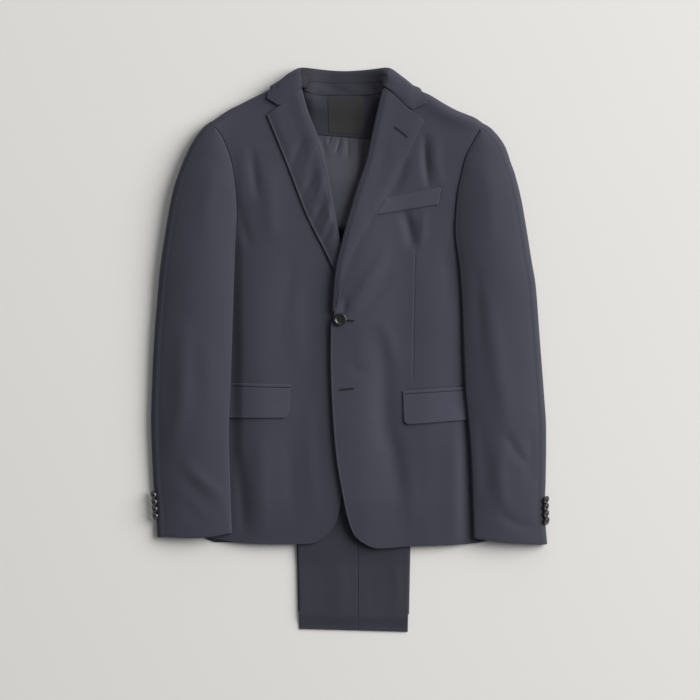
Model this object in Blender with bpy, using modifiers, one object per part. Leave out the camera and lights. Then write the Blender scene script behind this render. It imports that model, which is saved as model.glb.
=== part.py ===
# A two-piece suit laid flat on its back: a two-button jacket with its folded trousers lying inside it.
# Lengths are in millimetres until a mesh is made. X runs across the garment, Y towards the collar,
# Z up from the surface that it lies on. Left and right are the wearer's, so left is at +X.

import bmesh
import bpy
from collections import namedtuple
from math import cos, dist, hypot, pi, sin
from mathutils import Vector

MM = 0.001

# Driving dimensions
CENTRE_X = -8.0            # the jacket's centre line; the trousers reach further to one side
SIDE_FOLD = 248.0          # from the centre line to the fold at each side of the body
HEM_Y = -308.0             # hem of the back
UNDERARM_Y = 152.0
BACK_SEAM = 208.0          # from the centre line to the seam of the back with the side body
SEAM_GAP = 0.4             # between two pieces at a seam
JACKET_WALL = 2.0          # wool, fusing and facing
FACING_WALL = 1.2
LINING_WALL = 1.0
FLAP_WALL = 1.6
COLLAR_WALL = 1.6
TROUSER_WALL = 1.1
LEG_RING = 1.5             # between the middles of a leg's two walls where it is pressed flat
LEG_STEP = 3.0             # from the underside of one leg to that of the leg on it
BACK_MID = JACKET_WALL / 2  # middle of a wall that lies on the surface
SHOULDER_ROLL = 10.0       # how far the cloth bulges past its edge as it turns under
SLEEVE_ROLL = 10.0
SLEEVE_LIP = 2.4          # the same for the sleeve's edge along the armhole
LAPEL_ROLL = 2.5
LAPEL_LIFT = 2.2           # air under a lapel's outer edge
LAPEL_SPRING = 1.0         # and the further lift at its roll
BUTTON_FRONT = (20.0, 3.6)  # diameter and thickness
BUTTON_CUFF = (13.6, 2.2)
CUFF_BUTTONS = 4
CUFF_BUTTON_PITCH = 11.2
CUFF_BUTTON_TILT = 0.30    # radians, so that each lies on the next like a shingle

TROUSER_FOLD_Y = 158.0     # the trousers fold under here, above the knee
WAIST_Y = -232.0
WAISTBAND = 38.0
TROUSER_HEM_Y = -449.0
TROUSER_CENTRE_X = 5.8
OUTSEAM_X = 12.8
UNDER_LEG_SHIFT = 28.0     # the leg beneath ends this much higher
SEAT_BOTTOM, SEAT_TOP = 2.35, 7.75

CLOTH = ("suit_cloth", (0.066, 0.067, 0.088), 0.75)
LINING = ("lining", (0.060, 0.061, 0.080), 0.45)
LABEL = ("label", (0.034, 0.035, 0.037), 0.60)
HORN = ("button", (0.012, 0.011, 0.013), 0.30)

# Height of the fronts' cloth over the surface, from the hem to the collar
Body = namedtuple("Body", "y centre side overlap")
BODY = [
    Body(-320, 11.5, 5.6, 5.4),
    Body(-240, 15.6, 6.2, 7.4),
    Body(-120, 16.4, 7.4, 8.4),
    Body(0, 17.0, 8.8, 8.4),
    Body(60, 18.0, 9.8, 8.8),
    Body(120, 19.4, 11.6, 8.8),
    Body(200, 20.6, 15.4, 8.2),
    Body(270, 22.0, 20.5, 3.6),
    Body(340, 22.6, 23.6, 0.6),
    Body(400, 21.6, 22.6, 0.0),
    Body(450, 18.0, 18.0, 0.0),
]

# Height of a sleeve at its inner edge, along its crown and at its outer edge
Sleeve = namedtuple("Sleeve", "y inner crown outer")
SLEEVE = [
    Sleeve(-320, 15.2, 18.0, 12.6),
    Sleeve(-200, 17.2, 22.4, 13.6),
    Sleeve(-80, 18.8, 25.2, 15.2),
    Sleeve(50, 19.2, 27.4, 17.6),
    Sleeve(150, 20.0, 29.2, 20.6),
    Sleeve(216, 21.4, 30.0, 22.6),
    Sleeve(270, 24.0, 30.2, 24.2),
    Sleeve(320, 25.2, 28.2, 25.0),
    Sleeve(354, 24.2, 24.6, 24.2),
]

# A leg pressed on its creases, from the hem to the fold
Leg = namedtuple("Leg", "y half_width")
LEG = [Leg(-450, 86.8), Leg(-300, 89.6), Leg(-70, 108.0), Leg(160, 131.0)]
LEG_ROWS = [-446, -440, -432, -424, -410, -385, -352, -330, -308, -290, -275, -260, -245, -230,
            -150, -40, 60]
SEAT = [Leg(-232, 108.0), Leg(-190, 112.0), Leg(-90, 126.0), Leg(20, 134.0), Leg(160, 131.0)]

# Outlines in plan. Each list is one edge of a piece, with only the points that its shape needs.
LEFT, RIGHT = "left", "right"
FRONT_EDGE = {
    LEFT: [(18.7, -306.4), (4.8, -291.5), (-5.3, -261.6), (-13.3, -221.6), (-21.3, -173.6),
           (-27.2, -107.5), (-30.7, -27.5), (-30.4, 40)],
    RIGHT: [(-56, -308), (-35, -293.6), (-22, -272.8), (-14.4, -241), (-6, -200), (1, -150),
            (3, -80), (3.5, 46)],
}
ROLL_LINE = {
    LEFT: [(-29, 62), (-24, 125.6), (-12, 179.2), (0, 223.2), (12, 263.2), (25.6, 303.2),
           (36, 351.2), (48, 403.2), (53.5, 420)],
    RIGHT: [(3.5, 72), (-3, 112), (-15, 173.6), (-28, 243.2), (-38.4, 299.2), (-52, 343.2),
            (-66, 379.2), (-75.5, 413), (-76.5, 418)],
}
HEM = {
    LEFT: [(18.7, -306.4), (34.7, -315.5), (52.8, -317.3), (96, -314.5), (160, -312.5), (204, -309)],
    RIGHT: [(-56, -308), (-80, -310.5), (-120, -311), (-157, -310), (-187, -307.5), (-220, -302)],
}
SIDE_SEAM = {LEFT: [(204, -309), (199, -60), (199, 60), (203, 150)],
             RIGHT: [(-220, -302), (-215, -60), (-215, 60), (-219, 150)]}
ARMHOLE = {
    LEFT: [(203, 152), (187, 162), (172, 185), (168, 216.3), (171.2, 253), (177.1, 280.3),
           (184, 308), (198.9, 337.4), (208, 352.5)],
    RIGHT: [(-219, 152), (-202, 162), (-185, 183), (-180.8, 212.5), (-181.5, 245), (-185.3, 278),
            (-190.7, 305), (-203, 338), (-215.3, 356.3)],
}
SHOULDER = {
    LEFT: [(62, 420), (88, 418.5), (108, 415.5), (121.6, 411), (131.2, 406.2), (150.4, 394.4), (169.6, 384),
           (188.8, 376.2), (201, 371), (214, 363)],
    RIGHT: [(-84, 421), (-106, 421), (-124, 418.5), (-137.6, 412.2), (-156.8, 402.9), (-176, 393),
            (-195.2, 383.4), (-221, 366)],
}
LAPEL_EDGE = {
    LEFT: [(-20.5, 70), (-14.4, 95.2), (3.2, 140), (24, 183.2), (44.8, 218.4), (60.8, 245.6),
           (92.8, 303.2), (120.5, 362)],
    RIGHT: [(-6, 77), (-24, 124.5), (-43.2, 164.5), (-56, 188.5), (-73.6, 226), (-100, 295),
            (-132.8, 375.7)],
}
LAPEL_TOP = {
    LEFT: [(53.5, 420), (75, 403.5), (96.8, 383.2), (110, 375), (120.5, 362)],
    RIGHT: [(-76.5, 418), (-94.4, 406), (-112.8, 390.4), (-123, 383), (-132.8, 375.7)],
}
SLEEVE_INNER = {
    LEFT: [(208, 352.5), (198.9, 337.4), (184, 308), (177.1, 280.3), (171.2, 253), (168, 216.3),
           (168, 182), (173.8, 136.3), (178.2, 79.2), (183, -48.8), (188, -107.5), (193.3, -187.5),
           (197.3, -301.6)],
    RIGHT: [(-215.3, 356.3), (-203, 338), (-190.7, 305), (-185.3, 278), (-181.5, 245), (-180.8, 212.5),
            (-183.5, 159), (-187, 52.5), (-190.7, -56.8), (-193.3, -128.8), (-192, -195.5),
            (-188.5, -292.8)],
}
SLEEVE_OUTER = {
    LEFT: [(215.2, 361.0), (228.5, 351.5), (246.4, 328.3), (256.8, 300), (264.6, 277.6),
           (275.4, 232.8), (290.2, 143.2), (297.3, 98.4), (304.1, 8.8), (311, -80.8),
           (313.6, -125.6), (313, -205), (311.4, -257), (315.4, -311)],
    RIGHT: [(-223.2, 364.8), (-237.5, 352.5), (-257.2, 322.4), (-275.7, 277.6), (-287.6, 232.8),
            (-301.9, 143.2), (-306.5, 98.4), (-313.6, 8.8), (-317.3, -80.8), (-317.9, -125.6),
            (-314.6, -205), (-310.4, -249), (-308, -299.8)],
}
CUFF_MIDDLE = {LEFT: (246, -308.2), RIGHT: (-240, -300.8)}
BACK_ARMHOLE = {LEFT: [(200, 152), (191, 190), (187, 250), (191, 305), (203, 343)],
                RIGHT: [(-216, 152), (-205, 190), (-198, 250), (-201, 305), (-211.5, 347)]}
NECK_SEAM = [(-69, 413.5, 22.0), (-63, 411, 17.5), (-54, 409, 11.0), (-36, 408.3, 6.6),
             (CENTRE_X, 408.3, 5.7), (20, 408.3, 6.6), (38, 409, 11.0), (46, 411, 17.5),
             (50.0, 413.3, 21.5)]

# The collar's ribs from the centre back to its end. Each runs from its seam on the stand, over the
# roll, to the free edge of the fall. Where a rib lies on the lapel its height is left to that.
COLLAR_RIBS = {
    LEFT: [
        [(-8, 427, 5.2), (-8, 436, 5.3), (-8, 443.2, 5.0), (-8, 446.0, 3.0),
         (-8, 443.0, 1.0), (-8, 422, 0.9), (-8, 402, 0.9)],
        [(18, 427.3, 5.8), (18.5, 437, 6.0), (19, 444.8, 5.7), (19.5, 447.3, 3.3),
         (20, 444.4, 1.0), (21, 422, 0.9), (22, 401.5, 0.9)],
        [(36, 428.5, 9.5), (38, 439, 10.7), (40.5, 447.0, 10.5), (42.5, 449.6, 6.6),
         (44, 446.5, 2.2), (47, 423, 1.0), (50, 400.5, 0.9)],
        [(47.0, 428.5, 15.5), (50.5, 438, 18.0), (55, 446.5, 18.5), (61.5, 450.8, 14.3),
         (63.0, 446, 6.5), (70, 424, 1.2), (77, 400, 0.9)],
        [(50.3, 424.5, 19.5), (53, 433, 22.3), (59, 441, 24.0), (70.5, 443.0, 21.5),
         (80.5, 438.2, 13.5), (90, 423.6, 3.6), (96, 402, 0.9)],
        [(51.3, 421, 21.5), (54, 427.5, 24.2), (63, 433, 26.0), (80, 435, 23.6),
         (93, 429.4, 16.5), (103, 420.5, 7.5), (107, 411.5, 1.6)],
        [(51.6, 420, 22.2), (54, 425.5, 24.7), (64, 428.5, 26.4), (82, 429, 25.0),
         (96, 425, 20.0), (105.5, 421, 14.0), (110.3, 418.9, 10.5)],
        [(52.0, 419.6, 23.0), (54, 423.4, 25.2), (65, 424, 26.8), (84, 422, 26.2),
         (99, 419.5, 24.2), (108.5, 417.5, 21.5), (114, 414.5, 20.3)],
        [(52.3, 419.4, 23.5), (54.8, 422.0, 26.0), (66, 416, 27.2), (82, 408.5, 27.0),
         (98, 402.5, 26.2), (110, 403, 25.0), (119.6, 405, 23.8)],
        [(52.4, 419.9, 23.9), (56.0, 422.0, None), (66.9, 411.9, None), (82.4, 398.0, None),
         (97.5, 385.3, None), (110, 389, None), (122.4, 393.8, None)],
    ],
    RIGHT: [
        [(-34, 427.3, 5.8), (-34.5, 437, 6.0), (-35, 444.8, 5.7), (-35.5, 447.3, 3.3),
         (-36, 444.4, 1.0), (-37, 422, 0.9), (-38, 401.5, 0.9)],
        [(-52, 428.5, 9.5), (-54.5, 439, 10.7), (-57.5, 447.3, 10.5), (-59.5, 449.9, 6.6),
         (-61, 446.8, 2.2), (-63, 423, 1.0), (-66, 400.5, 0.9)],
        [(-64, 428.5, 15.5), (-68, 438.3, 18.0), (-72.5, 446.9, 18.5), (-79.0, 450.9, 14.3),
         (-80.5, 446.5, 6.5), (-87, 424, 1.2), (-94, 400, 0.9)],
        [(-67.3, 424.5, 19.5), (-71, 433.5, 22.3), (-77, 442, 24.0), (-88.5, 445.4, 21.5),
         (-98.5, 440.5, 13.5), (-108, 426.5, 3.6), (-114, 403, 0.9)],
        [(-68.8, 421.5, 21.5), (-73, 429, 24.2), (-81.5, 435.5, 26.0), (-98, 437.5, 23.6),
         (-110.5, 432, 16.5), (-119.7, 425.6, 7.2), (-123.8, 416, 1.25)],
        [(-69.3, 420.5, 22.2), (-73.5, 426.5, 24.7), (-82.3, 431, 26.4), (-99.5, 432.5, 25.0),
         (-113, 428.8, 20.0), (-121.8, 425, 14.0), (-126.3, 422.5, 10.5)],
        [(-70.5, 419.8, 23.0), (-74, 424, 25.2), (-83, 426.5, 26.8), (-101, 426, 26.2),
         (-115, 424.5, 24.2), (-123.5, 421.8, 21.5), (-128.3, 418, 20.3)],
        [(-71.6, 419.0, 23.6), (-76, 421.6, 26.0), (-86, 418.5, 27.2), (-102, 412.5, 27.0),
         (-115.5, 408.5, 26.2), (-125, 409.5, 25.0), (-131, 410.5, 23.8)],
        [(-72.6, 418.6, 24.0), (-78.4, 419.6, None), (-88.4, 411.9, None), (-101.4, 401.9, None),
         (-114, 392.6, None), (-123.5, 396.7, None), (-132.6, 402.0, None)],
    ],
}
FLAP_RADIUS = 9.0
FLAP = {LEFT: [(86.5, -119.5), (232, -108), (84.5, -71.5), (232, -62)],
        RIGHT: [(-236, -108.3), (-98, -108.3), (-236, -57.5), (-95, -61)]}
JET = {LEFT: [(84, -70.6), (232, -61.2), (84, -65.4), (232, -56.2)],
       RIGHT: [(-236, -56.6), (-94.5, -60), (-236, -51.6), (-94.5, -55)]}
WELT = [(44.5, 216.5), (141, 232.8), (53.5, 242.3), (145.3, 260)]
FRONT_BUTTON = (-16.0, 48.8)
CUFF_BUTTON_Y = {LEFT: -273.6, RIGHT: -265.8}
CUFF_BUTTON_TURN = 1.2
HEM_SLOPE = -0.028         # of the trouser hems, over their width
LINING_SWELL = 11.0        # how far the back lining stands up between the fronts

# Rows and columns of cloth, closer together where it bends more
FRONT_COLUMNS = [0, 0.11, 0.21, 0.3, 0.39, 0.47, 0.55, 0.64, 0.72, 0.79, 0.86, 0.93, 1.0]
FRONT_ROWS = [0, 0.03, 0.07, 0.12, 0.2, 0.3, 0.4, 0.47, 0.51, 0.55, 0.61, 0.66, 0.7, 0.74, 0.78,
              0.82, 0.86, 0.9, 0.94, 0.97, 1.0]
COLLAR_STEPS = (28, 12)
SLEEVE_ROWS = 17
SLEEVE_SPACING = 1.3


# Curves and surfaces

def smoothstep(low, high, value):
    """From 0 at low to 1 at high, whichever is the larger."""
    t = min(1.0, max(0.0, (value - low) / (high - low)))
    return t * t * (3 - 2 * t)


def along(table, y, column):
    """A column of a table of sections at y, eased from row to row."""
    if y <= table[0].y:
        return getattr(table[0], column)
    for low, high in zip(table, table[1:]):
        if y <= high.y:
            t = (y - low.y) / (high.y - low.y)
            a, b = getattr(low, column), getattr(high, column)
            return a + (b - a) * (0.6 * t + 0.4 * t * t * (3 - 2 * t))
    return getattr(table[-1], column)


def smooth_points(points, steps=10):
    """A Catmull-Rom curve through the points."""
    if len(points) == 2:
        return [tuple(p) for p in points]
    ends = [tuple(2 * a - b for a, b in zip(points[0], points[1])), *points,
            tuple(2 * a - b for a, b in zip(points[-1], points[-2]))]
    found = []
    for p0, p1, p2, p3 in zip(ends, ends[1:], ends[2:], ends[3:]):
        for k in range(steps):
            t = k / steps
            found.append(tuple(
                0.5 * (2 * b + (c - a) * t + (2 * a - 5 * b + 4 * c - d) * t * t
                       + (3 * b - a - 3 * c + d) * t ** 3)
                for a, b, c, d in zip(p0, p1, p2, p3)))
    return found + [tuple(points[-1])]


def edge(*stretches, steps=10):
    """A function of 0 to 1 along one or more smooth stretches, by length."""
    points = []
    for stretch in stretches:
        points += smooth_points(stretch, steps)[1 if points and points[-1] == tuple(stretch[0]) else 0:]
    lengths = [0.0]
    for p, q in zip(points, points[1:]):
        lengths.append(lengths[-1] + dist(p, q))

    def at(t):
        goal = min(1.0, max(0.0, t)) * lengths[-1]
        for i in range(1, len(points)):
            if goal <= lengths[i] or i == len(points) - 1:
                share = (goal - lengths[i - 1]) / max(1e-9, lengths[i] - lengths[i - 1])
                return Vector(points[i - 1]).lerp(Vector(points[i]), min(1.0, share))
    return at


def shifted(points, distance):
    """The points moved to the left of their direction of travel by distance."""
    found = []
    for i, p in enumerate(points):
        before, after = points[max(0, i - 1)], points[min(len(points) - 1, i + 1)]
        tangent = Vector((after[0] - before[0], after[1] - before[1])).normalized()
        found.append((p[0] - tangent.y * distance, p[1] + tangent.x * distance))
    return found


def patch(low, high, first, last, us, vs, height=None):
    """Rows of points over a four-sided patch. low and high run along u, first and last along v.
    Without a height the four edges are curves in space."""
    rows = []
    for v in vs:
        row = []
        for u in us:
            flat = (low(u) * (1 - v) + high(u) * v + first(v) * (1 - u) + last(v) * u
                    - low(0) * (1 - u) * (1 - v) - low(1) * u * (1 - v)
                    - high(0) * (1 - u) * v - high(1) * u * v)
            row.append(Vector((flat.x, flat.y, height(flat.x, flat.y))) if height else flat)
        rows.append(row)
    return rows


def even(count, power=1.0):
    return [(i / count) ** power for i in range(count + 1)]


def turned(rows):
    return [list(column) for column in zip(*rows)]


def rolled(rows, out, drop, angle, steps=5):
    """Rows with more of them past the last: the cloth turns over there, bulging by out(i) and
    dropping by drop(i) at half a turn, through angle(i) radians. It turns straight down."""
    last, before = rows[-1], rows[-2]
    added = []
    for k in range(1, steps + 1):
        row = []
        for i, p in enumerate(last):
            side = last[min(len(last) - 1, i + 1)] - last[max(0, i - 1)]
            away = Vector((side.y, -side.x, 0)).normalized()
            if away.dot(Vector((p.x - before[i].x, p.y - before[i].y, 0))) < 0:
                away = -away
            turn = angle(i) * k / steps
            row.append(p + away * (out(i) * sin(turn))
                       - Vector((0, 0, drop(i) / 2 * (1 - cos(turn)))))
        added.append(row)
    return rows + added


# Objects

def material(kind):
    name, colour, roughness = kind
    found = bpy.data.materials.get(name)
    if found:
        return found
    found = bpy.data.materials.new(name)
    found.use_nodes = True
    shader = found.node_tree.nodes["Principled BSDF"]
    shader.inputs["Base Color"].default_value = (*colour, 1)
    shader.inputs["Roughness"].default_value = roughness
    return found


def finish(obj, kind, smooth=True):
    obj.data.materials.append(material(kind))
    if smooth:
        obj.data.shade_smooth()
    for other in list(obj.users_collection):
        other.objects.unlink(obj)
    SUIT.objects.link(obj)
    return obj


def cloth(name, rows, wall, kind=CLOTH):
    """A grid bent to the rows, with a Solidify wall about it."""
    bpy.ops.mesh.primitive_grid_add(x_subdivisions=len(rows[0]) - 1, y_subdivisions=len(rows) - 1)
    obj = bpy.context.active_object
    obj.name = obj.data.name = name
    across = len(rows[0])
    for i, vertex in enumerate(obj.data.vertices):
        vertex.co = rows[i // across][i % across] * MM
    mesh = bmesh.new()
    mesh.from_mesh(obj.data)
    bmesh.ops.recalc_face_normals(mesh, faces=mesh.faces)
    mesh.to_mesh(obj.data)
    mesh.free()
    solid = obj.modifiers.new("Wall", "SOLIDIFY")
    solid.thickness = wall * MM
    solid.offset = 0
    return finish(obj, kind)


# Heights

def front_height(x, y):
    """The middle of the fronts' wall where only one of them lies."""
    low = 1 - smoothstep(60, 190, y)
    share = smoothstep(95 + 30 * low, 214, abs(x - CENTRE_X))
    return along(BODY, y, "centre") * (1 - share) + along(BODY, y, "side") * share


def front_height_of(side):
    """The left front lies over the right one and over its lapel, and sinks back away from them."""
    def height(x, y):
        lift = along(BODY, y, "overlap") * (1 - smoothstep(12, 95, x)) if side == LEFT else 0.0
        return front_height(x, y) + lift
    return height


def lapel_height_of(side):
    front = front_height_of(side)
    roll = edge(ROLL_LINE[side])
    line = [roll(t) for t in even(40)]

    def height(x, y):
        away = min(hypot(x - p.x, y - p.y) for p in line)
        spring = LAPEL_SPRING * (1 - smoothstep(4, 26, away))
        return front(x, y) + JACKET_WALL + LAPEL_LIFT + spring
    return height


def back_height(x, y):
    """The back rises over the collar that lies folded under its neck."""
    return BACK_MID + 2.4 * smoothstep(362, 392, y)


def flap_rise(y):
    """The flaps lift the sleeves that lie over them."""
    return 2.6 * smoothstep(-142, -118, y) * (1 - smoothstep(-56, -32, y))


def sleeve_bed(x, y):
    """The middle of a sleeve's under wall: on the body, then down its side to the surface."""
    away = abs(x - CENTRE_X)
    on_body = front_height(x, y) + JACKET_WALL + SEAM_GAP + flap_rise(y)
    return BACK_MID + (on_body - BACK_MID) * (1 - smoothstep(SIDE_FOLD + 1, SIDE_FOLD + 27, away))


def leg_base(y):
    """The underside of the lower leg, over the seat, then the back, then on the surface."""
    over_seat = SEAT_TOP + SEAM_GAP
    over_back = JACKET_WALL + SEAM_GAP
    onto_back = over_back + (over_seat - over_back) * smoothstep(-284, -234, y)
    return onto_back * smoothstep(-350, -309, y)


# Jacket body

def front(side):
    sign = 1 if side == LEFT else -1
    inset = LAPEL_ROLL + JACKET_WALL + SEAM_GAP / 2
    inner = edge(FRONT_EDGE[side], shifted(ROLL_LINE[side], -sign * inset))
    seam = shifted(SIDE_SEAM[side], sign * SEAM_GAP / 2)
    outer = edge(seam, shifted(ARMHOLE[side], sign * SEAM_GAP))
    top = shifted(SHOULDER[side], -sign * (SHOULDER_ROLL + JACKET_WALL / 2))
    low = edge(HEM[side])
    high_ends = [tuple(inner(1)), *top[1:-1], tuple(outer(1))]
    rows = patch(low, edge(high_ends), inner, outer, FRONT_COLUMNS, FRONT_ROWS, front_height_of(side))
    top_row = rows[-1]
    rows = rolled(rows, lambda i: SHOULDER_ROLL,
                  lambda i: top_row[i].z - back_height(top_row[i].x, top_row[i].y) - 0.1,
                  lambda i: pi, 4)
    return cloth("jacket_front_" + side, rows, JACKET_WALL)


def side_body(side):
    """The panel under the arm: it turns round the side fold and on under the garment."""
    sign = 1 if side == LEFT else -1
    roll, rows = 8.0, 9
    fold_x = CENTRE_X + sign * (SIDE_FOLD - roll - JACKET_WALL / 2)
    hem_y, top_y = HEM[side][-1][1], UNDERARM_Y - 1.5
    seam = edge(shifted(SIDE_SEAM[side], -sign * SEAM_GAP / 2))
    fold = edge([(fold_x, hem_y + 6), (fold_x, top_y)])
    columns = turned(patch(edge([tuple(seam(0)), tuple(fold(0))]), edge([tuple(seam(1)), tuple(fold(1))]),
                           seam, fold, even(2), even(rows), front_height))
    line = columns[-1]
    columns = rolled(columns, lambda i: roll, lambda i: line[i].z - BACK_MID, lambda i: pi, 4)
    back_x = CENTRE_X + sign * (BACK_SEAM + SEAM_GAP)
    for share in (0.5, 1.0):
        columns.append([Vector((p.x + (back_x - p.x) * share,
                                p.y + (HEM_Y + (top_y - HEM_Y) * k / rows - p.y) * share, BACK_MID))
                        for k, p in enumerate(line)])
    return cloth("jacket_side_" + side, columns, JACKET_WALL)


def back(side):
    sign = 1 if side == LEFT else -1
    centre = CENTRE_X + sign * SEAM_GAP / 2
    neck_y = 404.0
    shoulder = shifted(SHOULDER[side], -sign * (SHOULDER_ROLL + JACKET_WALL / 2 + SEAM_GAP + 1.2))
    side_x = CENTRE_X + sign * BACK_SEAM
    outer = edge([(side_x, HEM_Y), (side_x, UNDERARM_Y)], BACK_ARMHOLE[side][1:])
    tip = outer(1)
    neck = [(centre, neck_y), (CENTRE_X + sign * 40, neck_y), shoulder[0]]
    high = edge(neck, [*shoulder[1:-1], tuple(tip)])
    inner = edge([(centre, HEM_Y), (centre, neck_y)])
    rows = patch(edge([(centre, HEM_Y), (side_x, HEM_Y)]), high, inner, outer,
                 even(5), [0, 0.2, 0.4, 0.6, 0.7, 0.78, 0.84, 0.89, 0.92, 0.94, 0.96, 0.98, 1],
                 back_height)
    return cloth("jacket_back_" + side, rows, JACKET_WALL)


# Sleeves

def sleeve_top(side):
    """The height of a sleeve's upper wall across each row: a low crown between its two edges."""
    def height(u, y):
        inner, crown, outer = (along(SLEEVE, y, c) for c in ("inner", "crown", "outer"))
        chord = inner + (outer - inner) * u
        return chord + (crown - (inner + outer) / 2) * sin(pi * u) ** 0.8
    return height


def sleeve_edges(side):
    """Where the upper sleeve's top ends and its turned edges begin. It sets in close to the
    shoulder's tip and has its full lip along the armhole."""
    sign = 1 if side == LEFT else -1
    armhole = edge(SLEEVE_INNER[side])
    near, full = edge(shifted(SLEEVE_INNER[side], sign)), edge(shifted(SLEEVE_INNER[side], sign * 2))

    def inner(t):
        inset = SEAM_GAP + JACKET_WALL / 2 + 0.8 + 0.4 * smoothstep(0, 0.07, t) + sleeve_lip(t)
        return armhole(t) + (full(t) - near(t)) * inset
    return inner, edge(shifted(SLEEVE_OUTER[side], -sign * (SLEEVE_ROLL + JACKET_WALL / 2)))


def sleeve_lip(t):
    return 0.5 + (SLEEVE_LIP - 0.5) * smoothstep(0.0, 0.07, t)


def sleeve_upper(side):
    sign = 1 if side == LEFT else -1
    inner, outer = sleeve_edges(side)
    height = sleeve_top(side)
    us = even(5)
    vs = even(SLEEVE_ROWS, SLEEVE_SPACING)
    flat = patch(edge([tuple(inner(0)), tuple(outer(0))]), edge(cuff_line(side)),
                 inner, outer, us, vs, lambda x, y: 0)
    rows = [[Vector((p.x, p.y, height(u, p.y))) for u, p in zip(us, row)] for row in flat]
    columns = turned(rows)
    lip = columns[0]
    below_arm = [1 - smoothstep(186, 232, p.y) for p in lip]
    to_bed = [p.z - sleeve_bed(p.x, p.y) for p in lip]
    drop = [2.0 + 3.6 * smoothstep(0, 0.1, t) for t in vs]
    drop = [d + (bed - d) * s for d, bed, s in zip(drop, to_bed, below_arm)]
    columns = rolled(columns[::-1], lambda i: sleeve_lip(vs[i]), lambda i: drop[i],
                     lambda i: pi / 2 * (1 + below_arm[i]), 3)[::-1]
    fold = columns[-1]
    columns = rolled(columns, lambda i: SLEEVE_ROLL + 0.5, lambda i: fold[i].z - BACK_MID, lambda i: pi, 6)
    armhole = edge(shifted(BACK_ARMHOLE[side][::-1], sign * (SEAM_GAP + 1.4)))
    cap = [i for i, p in enumerate(fold) if p.y > UNDERARM_Y + 8]
    for share in (0.4, 1.0):
        added = []
        for i, p in enumerate(fold):
            short = Vector((p.x - sign * 6, p.y))
            reach = smoothstep(UNDERARM_Y + 22, UNDERARM_Y + 60, p.y)
            goal = short.lerp(armhole(min(1, i / cap[-1])).xy, reach)
            added.append(Vector((p.x + (goal.x - p.x) * share, p.y + (goal.y - p.y) * share, BACK_MID)))
        columns.append(added)
    return cloth("sleeve_upper_" + side, columns, JACKET_WALL * 0.9)


def cuff_line(side):
    inner, outer = sleeve_edges(side)
    return [tuple(inner(1)), CUFF_MIDDLE[side], tuple(outer(1))]


def sleeve_under(side):
    """The lower wall, from the turned inner edge, off the body and onto the surface."""
    sign = 1 if side == LEFT else -1
    inner, outer = sleeve_edges(side)
    top = UNDERARM_Y - 12
    start_in = next(t for t in even(200) if inner(t).y < top)
    start_out = next(t for t in even(200) if outer(t).y < top)
    gap = SEAM_GAP + 0.6
    first = edge([tuple(inner(start_in + (1 - start_in) * t) + Vector((sign * gap, 0))) for t in even(8)])
    last = edge([tuple(outer(start_out + (1 - start_out) * t) - Vector((sign * (6 + gap), 0)))
                 for t in even(8)])
    rows = patch(edge([tuple(first(0)), tuple(last(0))]), edge([tuple(first(1)), tuple(last(1))]),
                 first, last, even(8), even(9), sleeve_bed)
    return cloth("sleeve_under_" + side, rows, JACKET_WALL * 0.9)


# Lapels and collar

def lapel(side):
    sign = 1 if side == LEFT else -1
    inset = LAPEL_ROLL + JACKET_WALL / 2
    inner = edge(shifted(ROLL_LINE[side], -sign * inset))
    outer = edge(LAPEL_EDGE[side])
    top_points = [tuple(inner(1)), *LAPEL_TOP[side][1:]]
    rows = patch(edge([tuple(inner(0)), tuple(outer(0))]), edge(top_points), inner, outer,
                 [0, 0.22, 0.43, 0.645, 0.82, 1], even(14), lapel_height_of(side))
    front_at = front_height_of(side)
    columns = turned(rows)[::-1]
    roll = columns[-1]
    columns = rolled(columns, lambda i: LAPEL_ROLL, lambda i: roll[i].z - front_at(roll[i].x, roll[i].y),
                     lambda i: pi, 3)
    return cloth("lapel_" + side, columns, JACKET_WALL * 0.9)


def all_ribs():
    """The collar's ribs in one run, from its end at the wearer's right to the other."""
    found = []
    for side in (RIGHT, LEFT):
        lapel_at = lapel_height_of(side)
        ribs = [[(x, y, lapel_at(x, y) if z is None else z) for x, y, z in rib]
                for rib in COLLAR_RIBS[side]]
        found += ribs[::-1] if side == RIGHT else ribs
    return found


def collar():
    """One strip from end to end: its inner part, the roll, and the fall that turns down behind."""
    ribs = all_ribs()
    lines = [edge([rib[k] for rib in ribs]) for k in range(len(ribs[0]))]
    rows = []
    for t in even(COLLAR_STEPS[0]):
        rib = edge([tuple(line(t)) for line in lines], steps=6)
        rows.append([rib(v) for v in even(COLLAR_STEPS[1])])
    for p in (p for row in rows for p in row):
        p.z = max(p.z, COLLAR_WALL / 2 + 0.05)
    return cloth("collar", rows, COLLAR_WALL)


def collar_seam(shift):
    """The collar's inner edge, moved away from it by shift."""
    return [(x - shift * (x - CENTRE_X) / 55, y - shift, z) for x, y, z in (rib[0] for rib in all_ribs())]


def stand():
    low = edge(NECK_SEAM)
    high = edge(collar_seam(SEAM_GAP + 0.3))
    rows = patch(low, high, edge([tuple(low(0)), tuple(high(0))]), edge([tuple(low(1)), tuple(high(1))]),
                 even(18), even(2))
    return cloth("collar_stand", rows, COLLAR_WALL)


def facing_height(x, y):
    """On the back, and up with the neck seam towards the sides."""
    seam = edge(NECK_SEAM)
    flat = back_height(x, y) + (JACKET_WALL + FACING_WALL) / 2 + 0.35
    at_seam = seam(min(1, max(0, (x - NECK_SEAM[0][0]) / (NECK_SEAM[-1][0] - NECK_SEAM[0][0])))).z
    return flat + max(0.0, at_seam - 1.6 - flat) * smoothstep(376, 407, y)


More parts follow.
